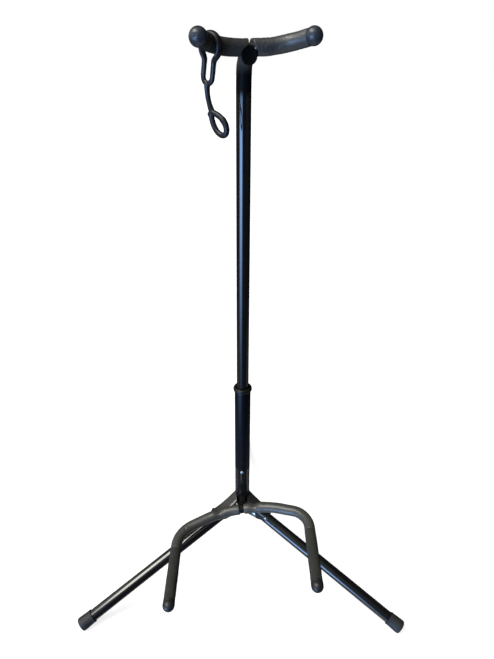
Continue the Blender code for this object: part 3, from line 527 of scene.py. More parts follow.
low = LOWER_BOTTOM - SEAT_GAP
under = low - PLUG_FLANGE
plug = softened([(0.0004, under + 0.0008), (0.0052, under + 0.0008), (0.0060, under), (0.0094, under),
                 (PLUG_HEAD, under + 0.0012), (PLUG_HEAD, low), (PLUG_SHANK, low),
                 (PLUG_SHANK, low + PLUG_DEPTH), (0.0004, low + PLUG_DEPTH)],
                [0, 0.0004, 0.0004, 0.0005, 0.0005, 0.0002, 0.0001, 0.0006, 0], 4)
piece("column_bottom_plug", [shell(lathed(plug, 64))], COLUMN, NYLON, "base", ["bottom_plug"])


def rivet_shell(shank, head, height, head_at):
    """A rivet along z: a shank and at each end a domed head with a small flat crown."""
    crown = domed(head, head_at + height * 0.25, height * 0.75, 9, 2.6)
    top = np.concatenate(([[shank, head_at * 0.5], [shank, head_at], [head * 0.985, head_at]], crown))
    profile = np.concatenate((top[::-1] * (1, -1), top))
    return shell(lathed(profile, 40))


across = turn_about("x", 90)
piece("stop_rivet_head", [rivet_shell(0.0016, 0.0025, 0.0013, LOWER_RADIUS + 0.00005)],
      inside(COLUMN, across, (0, 0, STOP_RIVET_HEIGHT)), STEEL, "base", ["stop_rivet"])


# Legs

BRACKET_INNER = 0.0075
BRACKET_OUTER = 0.050
BRACKET_HALF = 0.0098
BRACKET_SHEET = 0.0015
BRACKET_BEND = 0.0042
BRACKET_FRONT_GAP = 0.0088
BRACKET_SAG = 0.0024
BRACKET_RISE = 0.0062
BRACKET_EDGE = 0.00035
PIVOT_DEPTH = 0.0052
STOP_REACH = 0.0462
STOP_RADIUS = 0.0014
LEG_INNER_END = 0.0065
FOOT_BORE = 0.0081
FOOT_LENGTH = 0.0205
slope = math.radians(LEG_SLOPE)


def leg_top(x):
    """Height of a leg's upper side at a reach: the crossing height less the slope plus the tube's radius."""
    return LEG_CROSSING_HEIGHT - x * math.tan(slope) + LEG_RADIUS / math.cos(slope)


def bracket_top(x):
    """Height of the top plate at a reach: a line to its outer edge that sags by half a sine wave."""
    plate = BRACKET_SHEET * 1.28
    outer = leg_top(BRACKET_OUTER) + 2 * STOP_RADIUS + 2 * SEAT_GAP + plate
    inner = leg_top(BRACKET_INNER) + SEAT_GAP + plate + BRACKET_RISE
    share = (x - BRACKET_INNER) / (BRACKET_OUTER - BRACKET_INNER)
    return inner + share * (outer - inner) - BRACKET_SAG * np.sin(math.pi * np.clip(share, 0, 1))


def bracket_sheet(front, heading):
    """Pressed channel as a sheet: cheek, bend, top plate, bend, cheek across, and reach along. A front one
    starts where it is past the tube's free front: (gap + near sin heading) over cos heading."""
    bend = np.radians(np.linspace(0, 90, 9))
    drop = np.linspace(1, 0, 12)[:-1]
    corner_y = -BRACKET_HALF + BRACKET_BEND * (1 - np.cos(bend))
    corner_z = -BRACKET_BEND * (1 - np.sin(bend))
    plate_y = np.linspace(corner_y[-1], 0, 7)[1:]
    half_y = np.concatenate((np.full(len(drop), -BRACKET_HALF), corner_y, plate_y))
    half_z = np.concatenate((np.full(len(drop), -BRACKET_BEND), corner_z, np.zeros(len(plate_y))))
    half_drop = np.concatenate((drop, np.zeros(len(corner_y) + len(plate_y))))
    y = np.concatenate((half_y, -half_y[-2::-1]))[:, None]
    z = np.concatenate((half_z, half_z[-2::-1]))[:, None]
    down = np.concatenate((half_drop, half_drop[-2::-1]))[:, None]
    start = np.maximum(BRACKET_INNER, np.sqrt(np.maximum(0, (LOWER_RADIUS + 0.0001) ** 2 - y ** 2)))
    if front:
        c = abs(math.cos(math.radians(heading)))
        s = abs(math.sin(math.radians(heading)))
        near = -front * y
        free = (BRACKET_FRONT_GAP + near * s) / c
        start = start + (np.maximum(start, free) - start) * rise(start * s + near * c, 0.0020, 0.0046)
    share = 1 - (1 - np.linspace(0, 1, 40)[None, :]) ** 1.15
    x = start + (BRACKET_OUTER - start) * share
    top = bracket_top(x)
    end = bracket_top(BRACKET_OUTER)
    pivot = LEG_HINGE_HEIGHT - PIVOT_DEPTH
    low = np.interp(x, (BRACKET_INNER, 0.019, 0.034, 0.048, BRACKET_OUTER),
                    (pivot, pivot, pivot - 0.0015, end - 0.0062, end - 0.0049))
    height = top + z
    height = height + (low - height) * down
    return np.stack((x, np.broadcast_to(y, x.shape), height), axis=-1)


def bracket_piece(side, grid, seat):
    """A bracket from its sheet, given its thickness inwards and softened edges."""
    faces = grid_faces(*grid.shape[:2], False, False).tolist()
    item = rider(f"bracket_{side}", seated(grid.reshape(-1, 3), seat), faces, PLATE, "base",
                 [f"leg_bracket_{side}"])
    wall = item.modifiers.new("wall", "SOLIDIFY")
    wall.thickness = BRACKET_SHEET
    wall.offset = -1.0
    wall.use_even_offset = True
    edge = item.modifiers.new("edge", "BEVEL")
    edge.width = BRACKET_EDGE
    edge.segments = 2
    edge.limit_method = "ANGLE"
    edge.angle_limit = math.radians(50)


def foot_grid():
    """Grid of a rubber cap about z, hollow for the tube: a mouth bead, a flaring wall and a rounded sole."""
    mouth = LEG_END - FOOT_LENGTH
    seat = LEG_END - 0.004
    corners = [(0.0004, seat), (FOOT_BORE, seat), (FOOT_BORE, mouth), (0.0092, mouth),
               (0.00945, mouth + 0.0012), (0.0091, mouth + 0.0026), (0.0092, mouth + 0.0045),
               (0.0096, LEG_END - 0.0075), (0.00972, LEG_END - 0.0068), (0.0097, LEG_END), (0.0004, LEG_END)]
    rounds = [0, 0.0002, 0.0003, 0.0005, 0.0006, 0.0007, 0.0006, 0.0004, 0.0004, 0.0018, 0]
    return lathed(softened(corners, rounds, 4), 72)


for side, heading in LEG_HEADINGS.items():
    outward = inside(COLUMN, turn_about("z", heading), (0, 0, 0))
    front = {"left": -1, "right": 1, "rear": 0}[side]
    bracket_piece(side, bracket_sheet(front, heading), outward)
    hinge = inside(outward, turn_about("x", 90), (LEG_HINGE_REACH, 0, LEG_HINGE_HEIGHT))
    piece(f"pivot_rivet_{side}", [rivet_shell(0.0020, 0.0040, 0.0016, BRACKET_HALF)], hinge, STEEL, "base",
          [f"leg_rivet_{side}"])
    stop_height = leg_top(STOP_REACH) + SEAT_GAP + STOP_RADIUS
    stop = inside(outward, turn_about("x", 90), (STOP_REACH, 0, stop_height))
    piece(f"rest_rivet_{side}", [rivet_shell(STOP_RADIUS, 0.0026, 0.0016, BRACKET_HALF)], stop, STEEL, "base",
          [f"leg_stop_{side}"])

    leg = inside(outward, turn_about("y", LEG_SLOPE), (LEG_HINGE_REACH, 0, LEG_HINGE_HEIGHT))
    along = inside(leg, turn_about("y", 90), (0, 0, 0))
    body = f"leg_{side}"
    tube_end = LEG_END - 0.0043
    wall = softened([(LEG_RADIUS - LEG_WALL, -LEG_INNER_END), (LEG_RADIUS, -LEG_INNER_END),
                     (LEG_RADIUS, tube_end), (LEG_RADIUS - LEG_WALL, tube_end)], 0.0004)
    piece(f"leg_{side}_tube", [shell(lathed(wall, 64), close_rows=True)], along, LACQUER, body,
          [f"leg_tube_{side}"])
    foot = seated(foot_grid(), along)
    foot[..., 2] = np.maximum(foot[..., 2], 0.0)
    piece(f"foot_{side}_cap", [shell(foot)], (np.eye(3), np.zeros(3)), FOOT, body, [f"foot_{side}"])


# Lower yoke

ROD_FLAT = 0.009
SPREAD_RADIUS = 0.135
SPREAD_TURN = 22.0
ROD_SLOPE = 0.0175
ARM_BEND_RADIUS = 0.0335
ARM_BEND_TURN = 68.0
ARM_LENGTH = 0.086
COVER_START = 0.0035
COVER_RADIUS = 0.0075
ARM_FOAM_RADIUS = 0.0077
TIP_RADIUS = 0.0079
TIP_DEPTH = 0.0060
TIP_GROOVE = 0.00775

ROCK = inside(COLUMN, turn_about("y", -YOKE_TILT), (0, -YOKE_REACH, YOKE_HEIGHT))
FOLD = inside(ROCK, turn_about("x", YOKE_DROOP), (0, 0, 0))
spread_length = SPREAD_RADIUS * math.radians(SPREAD_TURN)
half = walked([(ROD_FLAT, 0.0), (spread_length, SPREAD_TURN), (ROD_SLOPE, 0.0),
               (ARM_BEND_RADIUS * math.radians(ARM_BEND_TURN), ARM_BEND_TURN), (ARM_LENGTH, 0.0)])
BEND_MIDDLE = ROD_FLAT + spread_length + ROD_SLOPE + ARM_BEND_RADIUS * math.radians(ARM_BEND_TURN / 2)
ARM_START = BEND_MIDDLE + ARM_BEND_RADIUS * math.radians(ARM_BEND_TURN / 2)
right_line = np.stack((half[:, 0], -half[:, 1], np.zeros(len(half))), axis=1)
left_line = right_line * (-1, 1, 1)
rod_line = np.concatenate((left_line[:0:-1], right_line))
length = path_length(rod_line)
stations = np.linspace(0.0, length, 260)[:, None]
rod = skin(rod_line, (0, 0, 1), stations, ROD_RADIUS, around(32))
piece("yoke_bent_rod", [shell(rod)], FOLD, LACQUER, "yoke", ["yoke_rod"])


def sleeve(path, start, end, radius, count, sides, lip_round, shape, dish=0.0):
    """A hollow sleeve on a path: quarter rounds at its ends, outside radius plus a shape of (station, angle),
    then back along its bore; its start may differ from angle to angle, and its far end is dished inwards."""
    angles = around(sides)
    start = np.broadcast_to(np.asarray(start, float), (1, sides))
    t = np.linspace(0, math.pi / 2, 6)[:, None]
    share = np.linspace(0, 1, count)[1:-1, None]
    low = start + lip_round
    high = end - lip_round
    station = np.concatenate((start + lip_round * (1 - np.cos(t)), low + (high - low) * share,
                              end - lip_round * (1 - np.cos(t[::-1])) + 0 * start))
    cut = np.concatenate((lip_round * (1 - np.sin(t)), 0 * share, lip_round * (1 - np.sin(t[::-1]))))
    outside = radius - cut + np.zeros((1, sides)) + shape(station, angles[None, :])
    outer = skin(path, (0, 0, 1), station, outside, angles)
    back = end - dish + (start - end + dish) * np.linspace(0, 1, max(12, count // 3))[:, None]
    inner = skin(path, (0, 0, 1), back, ROD_BORE, angles)
    return shell(np.concatenate((outer, inner)), close_rows=True)


def unrolled(s, a, radius):
    """Points of a straight sleeve at distances and angles."""
    return np.stack(np.broadcast_arrays(s, radius * np.cos(a), radius * np.sin(a)), axis=-1)


def cover_shape(sign):
    """Folds of a smooth sleeve, by distance and by the angle from its front up: a deep pinch on top, a raised
    lip beyond it, creases inside the bend, a slanting crease over it and slow unevenness."""
    pinch_at = 0.0345 if sign < 0 else 0.0200
    lip_at = 0.0430 if sign < 0 else 0.0285
    slant_at = BEND_MIDDLE - (0.010 if sign < 0 else 0.005)

    def shape(s, a):
        b = np.arctan2(np.sin(a), sign * np.cos(a))
        slow = 0.00016 * waves(unrolled(s, a, COVER_RADIUS), 0.024, 61 + sign, 12)
        pinch = -0.0032 * bump(s, pinch_at, 0.0056) * bump(b, math.radians(104), math.radians(66))
        lip = 0.00045 * bump(s, lip_at, 0.0045) * bump(b, math.radians(100), math.radians(60))
        slant = -0.00042 * bump(s + 0.0035 * b, slant_at + 0.006, 0.0009)
        slant = slant * bump(b, math.radians(75), math.radians(45))
        crease = 0.0
        for k in range(4):
            at = BEND_MIDDLE - 0.007 + 0.0065 * k
            crease = crease - 0.00060 * bump(s, at, 0.0011) * bump(b, math.radians(-10), math.radians(48))
        squeeze = -0.0003 * bump(s, 0.0035, 0.002)
        return slow + pinch + lip + slant + crease + squeeze
    return shape


def foam_shape(seed, size, amount):
    """Uneven foam: slow seeded waves along and round the sleeve."""
    def shape(s, a):
        points = unrolled(s, a, ARM_FOAM_RADIUS)
        slow = amount * waves(points, size, seed, 14)
        return slow + amount * 0.5 * waves(points, size * 0.35, seed + 5, 14)
    return shape


COVER_END = ARM_START + 0.0062
TIP_AT = ARM_START + ARM_LENGTH
tip_mouth = softened([(0.0004, 0.0036), (ROD_BORE, 0.0036), (ROD_BORE, -TIP_DEPTH), (0.0074, -TIP_DEPTH),
                      (TIP_RADIUS, -0.0052)], [0, 0.0002, 0.0002, 0.0003, 0.0003], 3)[2:]
tip_groove = [[TIP_RADIUS, -0.0040], [TIP_GROOVE, -0.0036], [TIP_GROOVE, -0.0032], [TIP_RADIUS, -0.0028]]
tip_grid = lathed(np.concatenate((tip_mouth, tip_groove, domed(TIP_RADIUS, 0.0, TIP_RADIUS, 14))), 56)
for side, sign, line in (("left", -1, left_line), ("right", 1, right_line)):
    cover = sleeve(line, COVER_START, COVER_END, COVER_RADIUS, 190, 64, 0.0006, cover_shape(sign))
    item = piece(f"cover_{side}", [cover], FOLD, SLEEVE, "yoke", [f"yoke_cover_{side}"])
    grip = sleeve(line, COVER_END + 0.0001, TIP_AT - 0.0061, ARM_FOAM_RADIUS, 150, 64, 0.0009,
                  foam_shape(31 + sign, 0.012, 0.00016))
    item = piece(f"arm_foam_sleeve_{side}", [grip], FOLD, FOAM, "yoke", [f"arm_foam_{side}"])
    tip_seat = inside(FOLD, turn_about("x", 90), line[-1])
    piece(f"arm_tip_cap_{side}", [shell(tip_grid)], tip_seat, TIP, "yoke", [f"arm_tip_{side}"])


# Upper column and its elbow

HEAD = inside(COLUMN, turn_about("z", NECK_SWIVEL), (0, 0, 0))
TUBE_LOW = 0.1937
LEAN_START = 0.696
LEAN_RADIUS = 0.2
LEAN_TURN = 6.0
ELBOW_RADIUS = 0.0135
ELBOW_TURN = 84.0
NOSE_LENGTH = 0.0025
ELBOW_PLUG_RADIUS = 0.0066
bend = walked([(LEAN_START - TUBE_LOW, 0.0), (LEAN_RADIUS * math.radians(LEAN_TURN), LEAN_TURN),
               (ELBOW_RADIUS * math.radians(ELBOW_TURN), ELBOW_TURN), (NOSE_LENGTH, 0.0)])
tube_line = np.stack((0 * bend[:, 0], -bend[:, 1], TUBE_LOW + bend[:, 0]), axis=1)
NOSE = tube_line[-1]
tube_length = path_length(tube_line)
lean_at = LEAN_START - TUBE_LOW
elbow_at = lean_at + LEAN_RADIUS * math.radians(LEAN_TURN)
station = np.concatenate((np.linspace(0, lean_at, 60), np.linspace(lean_at, elbow_at, 14)[1:],
                          np.linspace(elbow_at, tube_length, 44)[1:]))[:, None]
angles = around(72)[None, :]
flat = rise(station, elbow_at, elbow_at + 0.008)
flat = flat * (1 - rise(station, tube_length - 0.008, tube_length - 0.001))
outside = UPPER_RADIUS * (1 + 0.022 * flat * np.cos(2 * angles))
outside[-1] -= 0.0004
outer = skin(tube_line, (1, 0, 0), station, outside, angles[0])
inner = skin(tube_line, (1, 0, 0), station[::-1], outside[::-1] - UPPER_WALL, angles[0])
tube = shell(np.concatenate((outer, inner)), close_rows=True)
piece("column_upper_tube", [tube], HEAD, COLUMN_LACQUER, "column", ["upper_tube"])

face = np.linspace(0.0002, ELBOW_PLUG_RADIUS, 7)[::-1]
dish = np.stack((face, 0.0010 + 0.0005 * (face / ELBOW_PLUG_RADIUS) ** 2), axis=1)
flange = softened([(0.0004, -0.003), (ELBOW_PLUG_RADIUS, -0.003), (ELBOW_PLUG_RADIUS, 0.0002),
                   (0.0083, 0.0002), (0.0083, 0.0010), (0.0076, 0.0016), (0.0069, 0.0016)],
                  [0, 0.0003, 0.0001, 0.0002, 0.0004, 0.0004, 0.0002], 4)
plug = shell(lathed(np.concatenate((flange, dish)), 64))
piece("elbow_plug", [plug], inside(HEAD, turn_about("x", 90), NOSE), PLUG, "column", ["neck_plug"])


# Neck yoke

ROD_SETBACK = 0.0032
ROD_LIFT = 0.0070
ROD_OFFSET = 0.0017
HALF_WIDTH = 0.0558
CURVE_END = 0.0505
FOAM_RADIUS = 0.0079
BALL_RADIUS = 0.0086
BALL_FLAT = 0.0064
NECK_STRAIGHT = 0.008
NECK_FORWARD = 0.026
NECK_RISE = 0.0084
WELD_REACH = 0.0068


def neck_arm(place):
    """The arm's middle line at places across: straight, then forward and up by powers of its share."""
    share = np.maximum(0, (place - NECK_STRAIGHT) / (HALF_WIDTH - NECK_STRAIGHT))
    return np.stack((place, -NECK_FORWARD * share ** 3.8, NECK_RISE * share ** 2.1), axis=-1)


ARMS = inside(HEAD, turn_about("y", -NECK_ROLL), NOSE + (ROD_OFFSET, ROD_SETBACK, ROD_LIFT))
curve = neck_arm(np.linspace(0, CURVE_END, 150))
outward = unit(neck_arm(np.array([CURVE_END + 0.0002])) - neck_arm(np.array([CURVE_END - 0.0002])))[0]
arm_end = curve[-1] + outward * ((HALF_WIDTH - CURVE_END) / outward[0])
straight = curve[-1] + (arm_end + outward * 0.0015 - curve[-1]) * np.linspace(0, 1, 24)[1:, None]
right_arm = np.concatenate((curve, straight))
left_arm = right_arm * (-1, 1, 1)
full_rod = np.concatenate((left_arm[:0:-1], right_arm))
rod_length = path_length(full_rod)
arm_length = rod_length / 2
along = np.linspace(0, rod_length, 200)[:, None]
beads = [bump(along, arm_length + way - ROD_OFFSET, 0.0012) for way in (-WELD_REACH, WELD_REACH)]
weld = 0.0011 * (beads[0] + beads[1])
neck = skin(full_rod, (0, 0, 1), along, ROD_RADIUS + weld, around(40))
piece("neck_bent_rod", [shell(neck)], ARMS, LACQUER, "column", ["neck_rod"])


def foam_start(sign, sides):
    """Where a neck sleeve begins, by angle: past the elbow's half width at that height and the notch."""
    a = around(sides)
    forward = sign * np.cos(a) * FOAM_RADIUS
    at = np.stack((NOSE[1] + ROD_SETBACK - forward, NOSE[2] + ROD_LIFT + FOAM_RADIUS * np.sin(a)), axis=1)
    ahead = np.stack((NOSE[1] - np.linspace(0, 0.02, 40), np.full(40, NOSE[2])), axis=1)
    line = np.concatenate((tube_line[:, 1:], ahead))
    away = np.linalg.norm(at[:, None] - line[None], axis=2).min(axis=1)
    clear = np.sqrt(np.maximum(0, (UPPER_RADIUS + 0.0007) ** 2 - away ** 2)) - sign * ROD_OFFSET
    top = ROD_LIFT + FOAM_RADIUS * 1.2
    notch = np.interp(at[:, 1] - NOSE[2], (0, top), (0.0058, 0.0014)) * rise(forward, -0.002, 0.002)
    start = np.maximum(np.maximum(clear, notch), 0.0014)
    for _ in range(3):
        start = np.maximum(start, (np.roll(start, 1) + start + np.roll(start, -1)) / 3)
    return start


def neck_foam_shape(sign):
    """Crinkled skin: short ripples near the inner end, shallow dents and slow unevenness."""
    pick = 51 if sign < 0 else 52
    strength = 0.55 if sign < 0 else 1.0

    def shape(s, a):
        points = unrolled(s, a, FOAM_RADIUS)
        slow = 0.00022 * waves(points, 0.013, pick, 12)
        wrinkle = waves(points * (1, 0.35, 0.35), 0.0022, pick + 3, 16)
        near = 1 - rise(s, 0.016, 0.034)
        facing = np.clip(sign * np.cos(a), 0, 1)
        dent = -0.0007 * bump(s, 0.0235, 0.006) * bump(np.sin(a), -0.25, 0.35) * facing
        return slow + strength * (0.00010 + 0.00013 * near) * wrinkle + strength * dent
    return shape


ball_at = path_length(np.concatenate((curve, [arm_end])))
foam_end = ball_at - math.sqrt(BALL_RADIUS ** 2 - (FOAM_RADIUS - 0.0004) ** 2) - 0.0001
foam_dish = foam_end - (ball_at - BALL_FLAT - 0.0002)

# Ball end about z: its bore, a dimple at the crown and a seam down both sides
t = np.radians(np.linspace(-math.degrees(math.asin(BALL_FLAT / BALL_RADIUS)), 88, 40))
globe = np.stack((BALL_RADIUS * np.cos(t), BALL_RADIUS * np.sin(t)), axis=1)
dimple = 1 - 0.035 * bump(globe[:, :1], 0.0, 0.0011)
ball_bore = [[0.0004, 0.0018], [ROD_BORE, 0.0018], [ROD_BORE, -BALL_FLAT]]
ball_grid = lathed(np.concatenate((ball_bore, globe * dimple)), 72)
ball_grid[len(ball_bore):] *= 1 + 0.010 * bump(np.sin(around(72)), 0.0, 0.030)[None, :, None]

# The right sleeve takes the lighter foam copy, whose lighter colour is painted light.
for side, sign, line, foam_finish in (("left", -1, left_arm, NECK_FOAM),
                                      ("right", 1, right_arm, LIT_NECK_FOAM)):
    foam = sleeve(line, foam_start(sign, 80), foam_end, FOAM_RADIUS, 170, 80, 0.0009, neck_foam_shape(sign),
                  foam_dish)
    item = piece(f"neck_foam_sleeve_{side}", [foam], ARMS, foam_finish, "column", [f"neck_foam_{side}"])

    flip = np.array((sign, 1, 1))
    z_way = outward * flip
    x_way = unit(np.cross((0.0, 0.0, 1.0), z_way))
    rotation = np.stack((x_way, np.cross(z_way, x_way), z_way), axis=1)
    ball_seat = inside(ARMS, rotation, arm_end * flip)
    piece(f"neck_ball_end_{side}", [shell(ball_grid)], ball_seat, RUBBER, "column", [f"neck_ball_{side}"])


# Strap

STRAP_PLACE = (-0.03063, -0.07864, 0.73761)
STRAP_TURN = math.degrees(math.atan2(-0.7902, -0.6128))
HANG = (turn_about("z", STRAP_TURN), np.array(STRAP_PLACE))
KNOB_RADIUS = 0.0030
CORD = 0.0020
EYE = 0.0112
SLOT_HALF = 0.0117 / 2
LOOP_DROP = 0.033
LEAN = math.radians(9.7)


def even_loop(points, count, passes):
    """A closed flat line respaced evenly and smoothed by averaging neighbours."""
    points = np.concatenate((points, points[:1]))
    length = np.concatenate(([0.0], np.cumsum(np.linalg.norm(np.diff(points, axis=0), axis=1))))
    at = np.linspace(0, length[-1], count, endpoint=False)
    loop = np.stack([np.interp(at, length, points[:, k]) for k in range(points.shape[1])], axis=1)
    for _ in range(passes):
        loop = 0.25 * np.roll(loop, 1, axis=0) + 0.5 * loop + 0.25 * np.roll(loop, -1, axis=0)
    return loop


def loop_skin(flat_line, thick, broad, sides=20):
    """A closed cord in the plane x = 0: thick within the plane and broad across it, by ellipses."""
    heading = unit(np.roll(flat_line, -1, axis=0) - np.roll(flat_line, 1, axis=0))
    normal = np.stack((-heading[:, 1], heading[:, 0]), axis=1)
    a = around(sides)
    thick = np.broadcast_to(thick, len(flat_line))[:, None]
    broad = np.broadcast_to(broad, len(flat_line))[:, None]
    x = broad * np.sin(a)
    y = flat_line[:, :1] + normal[:, :1] * thick * np.cos(a)
    z = flat_line[:, 1:] + normal[:, 1:] * thick * np.cos(a)
    return np.stack((x, y, z), axis=-1)


def lean_line(points):
    """A flat line turned about the eye by the strap's lean."""
    c, s = math.cos(LEAN), math.sin(LEAN)
    return np.stack((points[:, 0] * c + points[:, 1] * s, points[:, 1] * c - points[:, 0] * s), axis=1)


neck_angle = math.asin(SLOT_HALF / EYE) * 1.35
start = -math.pi / 2 + neck_angle
turn = np.linspace(start, math.pi - start, 60)
eye = np.stack((EYE * np.cos(turn), EYE * np.sin(turn) - 0.0017), axis=1)
shoulder = -EYE * math.cos(neck_angle) - SLOT_HALF * 0.75
turn = np.linspace(math.pi, 2 * math.pi, 40)
bottom = np.stack((SLOT_HALF * np.cos(turn), -LOOP_DROP + SLOT_HALF + SLOT_HALF * np.sin(turn)), axis=1)
keyhole = even_loop(np.concatenate((eye, [[-SLOT_HALF, shoulder]], bottom, [[SLOT_HALF, shoulder]])), 240, 10)
upper = rise(keyhole[:, 1], -EYE * 1.6, -EYE * 0.6)
loop = loop_skin(lean_line(keyhole), CORD * (1.34 - 0.14 * upper), CORD * (1.15 + 0.75 * upper))

top = lean_line(np.array([[0.0, -LOOP_DROP]]))[0]
knob_at = top + (0.0050, -0.024)
middle = top + (-0.0014, -0.012)
t = np.linspace(0, 1, 60)[:, None]
band = top * (1 - t) ** 2 + middle * 2 * t * (1 - t) + knob_at * t ** 2
band_line = np.stack((0 * band[:, 0], band[:, 0], band[:, 1]), axis=1)
band_length = path_length(band_line)
at = np.linspace(0, band_length, 60)[:, None]
swell = 0.0026 + 0.0005 * bump(at, 0, 0.005) + 0.0004 * rise(at, band_length * 0.7, band_length)
band_skin = skin(band_line, (1, 0, 0), at, swell, around(20))

tilt = math.radians(44)
down = np.array((math.sin(tilt), -math.cos(tilt)))
over = np.array((math.cos(tilt), math.sin(tilt)))
centre = knob_at + down * (0.0128 + 0.0012) - over * 0.0015
turn = np.linspace(0, 2 * math.pi, 120, endpoint=False)
top_share = (0.5 - 0.5 * np.sin(turn)) ** 2
ring_width = 0.0073 * np.cos(turn) * (1 - 0.46 * top_share)
ring_length = 0.0126 * np.sin(turn)
ring = centre + over * ring_width[:, None] + down * ring_length[:, None]
heavy = 0.00285 + 0.0003 * bump(turn, 0, 0.9)
ring_skin = loop_skin(ring, heavy, heavy)

t = np.radians(np.linspace(-88, 88, 18))
ball = lathed(np.stack((KNOB_RADIUS * np.cos(t), KNOB_RADIUS * np.sin(t)), axis=1), 24)
knob = ball + (0, knob_at[0], knob_at[1])
hook = ball + (0, *(knob_at + (-0.0018, -0.0030)))
strap_parts = [shell(loop, close_rows=True), shell(band_skin), shell(ring_skin, close_rows=True), shell(knob),
               shell(hook)]
strap = piece("neck_strap", strap_parts, HANG, STRAP, "strap", ["strap"])
one = strap.modifiers.new("one_skin", "REMESH")
one.mode = "VOXEL"
one.voxel_size = 0.00038
one.use_smooth_shade = True
even = strap.modifiers.new("even", "SMOOTH")
even.factor = 0.5
even.iterations = 6
shaped = bpy.data.meshes.new_from_object(strap.evaluated_get(bpy.context.evaluated_depsgraph_get()))
strap.modifiers.clear()
strap.data = shaped
shaped.shade_smooth()
if not shaped.materials:
    shaped.materials.append(STRAP)


# Solids that keep their own shape

for node, finish_used in (("yoke_mount", NYLON), ("yoke_screw", STEEL), ("yoke_clip", PLUG),
                          ("yoke_stop_pin", STEEL), ("tube_shoe", NYLON)):
    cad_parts[node].material_slots[0].material = finish_used


# Camera, floor and light

FOCAL_PIXELS = 495
PICTURE_HEIGHT = 659
SENSOR = 36
CAMERA_AT = (0.0053, COLUMN_Y - 0.56, 0.7219)
pitch = math.radians(28.2)
roll = math.radians(0.46)
view_way = np.array((0, math.cos(pitch), -math.sin(pitch)))
view_up = np.array((0, math.sin(pitch), math.cos(pitch)))
view_right = np.array((1.0, 0, 0))
turned_right = view_right * math.cos(roll) + view_up * math.sin(roll)
turned_up = -view_right * math.sin(roll) + view_up * math.cos(roll)
lens = bpy.data.cameras.new("camera")
lens.lens = FOCAL_PIXELS / PICTURE_HEIGHT * SENSOR
lens.sensor_width = SENSOR
lens.clip_start = 0.02
camera = added("camera", lens)
placed = np.eye(4)
placed[:3, :3] = np.stack((turned_right, turned_up, -view_way), axis=1)
placed[:3, 3] = CAMERA_AT
camera.matrix_world = Matrix(placed.tolist())
bpy.context.scene.camera = camera


def make_floor():
    """A pale floor: a wide disc whose rings grow outwards, level at z = 0."""
    radius = np.array([0.001, 0.2, 0.5, 1, 2, 4, 8, 16, 40])[:, None]
    a = around(64)[None, :]
    grid = np.stack((radius * np.cos(a), radius * np.sin(a), 0 * radius * a), axis=-1)
    rows, columns = grid.shape[:2]
    points = np.concatenate((grid.reshape(-1, 3), grid[:1].mean(axis=1)))
    middle = cap_faces(np.arange(columns), rows * columns, False)
    mesh = bpy.data.meshes.new("floor")
    mesh.from_pydata(points.tolist(), [], grid_faces(rows, columns, False, True).tolist() + middle.tolist())
    material = bpy.data.materials.new("pale_floor")
    material.use_nodes = True
    tree = material.node_tree
    shader = tree.nodes["Principled BSDF"]
    shader.inputs["Roughness"].default_value = 0.9
    shader.inputs["Specular IOR Level"].default_value = 0.1
    shader.inputs["Emission Strength"].default_value = 0.80
    shader.inputs["Emission Color"].default_value = (1, 1, 1, 1)
    where = tree.nodes.new("ShaderNodeTexCoord").outputs["Object"]
    tint = blended(tree, noise(tree, where, 1.3, 3.0), (0.38, 0.39, 0.40), (0.40, 0.41, 0.42))
    tree.links.new(tint, shader.inputs["Base Color"])
    mesh.materials.append(material)
    floor = added("floor", mesh)
    floor.visible_glossy = False
    floor.visible_diffuse = False
    floor.visible_shadow = False


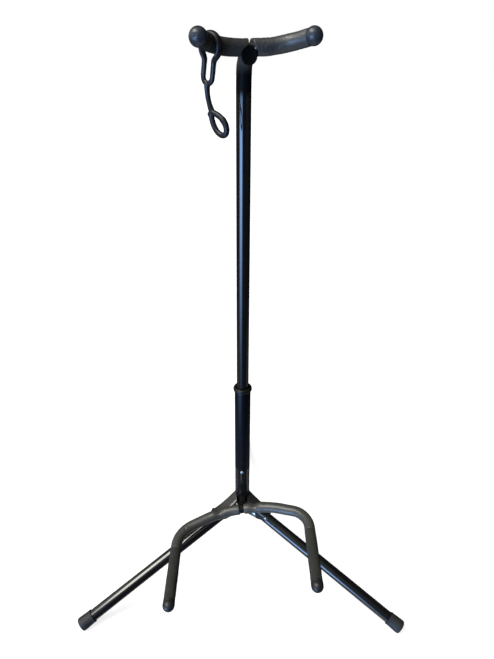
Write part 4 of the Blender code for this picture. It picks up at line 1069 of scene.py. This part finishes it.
def make_studio():
    """Soft boxes round the stand, painted on the world by heading and height; the camera sees plain white."""
    world = bpy.data.worlds.new("studio")
    bpy.context.scene.world = world
    world.use_nodes = True
    tree = world.node_tree
    tree.nodes.clear()
    split = tree.nodes.new("ShaderNodeSeparateXYZ")
    tree.links.new(tree.nodes.new("ShaderNodeTexCoord").outputs["Generated"], split.inputs[0])
    x, y, z = split.outputs
    heading = calc(tree, "MULTIPLY", calc(tree, "ARCTAN2", x, calc(tree, "MULTIPLY", y, -1.0)), 180 / math.pi)
    height = calc(tree, "MULTIPLY", calc(tree, "ARCSINE", z), 180 / math.pi)

    def box(low_heading, high_heading, low_height, high_height, soft, soft_height):
        """A soft-edged box: smooth steps of heading and height, multiplied."""
        edges = ((heading, low_heading, soft, (0.0, 1.0)),
                 (heading, high_heading, soft, (1.0, 0.0)),
                 (height, low_height, soft_height, (0.0, 1.0)),
                 (height, high_height, soft_height, (1.0, 0.0)))
        steps = [spread(tree, value, at - width, at + width, *ends) for value, at, width, ends in edges]
        mask = steps[0]
        for step in steps[1:]:
            mask = calc(tree, "MULTIPLY", mask, step)
        return mask

    everywhere = calc(tree, "ADD", 0.0, 1.0)
    low_window = calc(tree, "MULTIPLY", box(-59, -18, -60, -3.5, 7, 0.7), spread(tree, height, -37, -5))
    total = None
    for share, colour in (
        (everywhere, (0.030, 0.031, 0.034)),
        (low_window, (5.8, 9.6, 17.0)),
        (box(-32, -10, 2, 22, 8, 5), (0.85, 1.15, 1.75)),
        (box(-98, -32, 44, 67, 8, 6), (13.5, 13.1, 12.2)),
        (box(-180, 180, -95, -60, 5, 7), (0.62, 0.59, 0.54)),
        (box(-60, 20, 35, 80, 22, 14), (0.55, 0.55, 0.52)),
        (box(-180, 180, 66, 95, 5, 14), (0.55, 0.55, 0.53)),
        (box(-130, -75, 2, 34, 12, 12), (0.8, 0.75, 0.66)),
        (box(-28, -10, -68, -38, 7, 8), (0.85, 0.86, 0.88)),
        (box(-125, -75, -56, -30, 9, 6), (0.20, 0.20, 0.20)),
        (box(72, 120, -56, -30, 9, 6), (0.24, 0.24, 0.24)),
        (box(35, 85, -10, 25, 16, 14), (0.12, 0.14, 0.18)),
    ):
        lit = tree.nodes.new("ShaderNodeVectorMath")
        lit.operation = "SCALE"
        lit.inputs[0].default_value = colour
        tree.links.new(share, lit.inputs["Scale"])
        if total is None:
            total = lit.outputs[0]
            continue
        added = tree.nodes.new("ShaderNodeVectorMath")
        added.operation = "ADD"
        tree.links.new(total, added.inputs[0])
        tree.links.new(lit.outputs[0], added.inputs[1])
        total = added.outputs[0]
    lights = tree.nodes.new("ShaderNodeBackground")
    tree.links.new(total, lights.inputs["Color"])
    plain = tree.nodes.new("ShaderNodeBackground")
    plain.inputs["Color"].default_value = (1, 1, 1, 1)
    plain.inputs["Strength"].default_value = 1.0
    pick = tree.nodes.new("ShaderNodeMixShader")
    tree.links.new(tree.nodes.new("ShaderNodeLightPath").outputs["Is Camera Ray"], pick.inputs[0])
    tree.links.new(lights.outputs[0], pick.inputs[1])
    tree.links.new(plain.outputs[0], pick.inputs[2])
    out = tree.nodes.new("ShaderNodeOutputWorld")
    tree.links.new(pick.outputs[0], out.inputs["Surface"])


make_floor()
make_studio()
bpy.context.scene.view_settings.view_transform = "Standard"
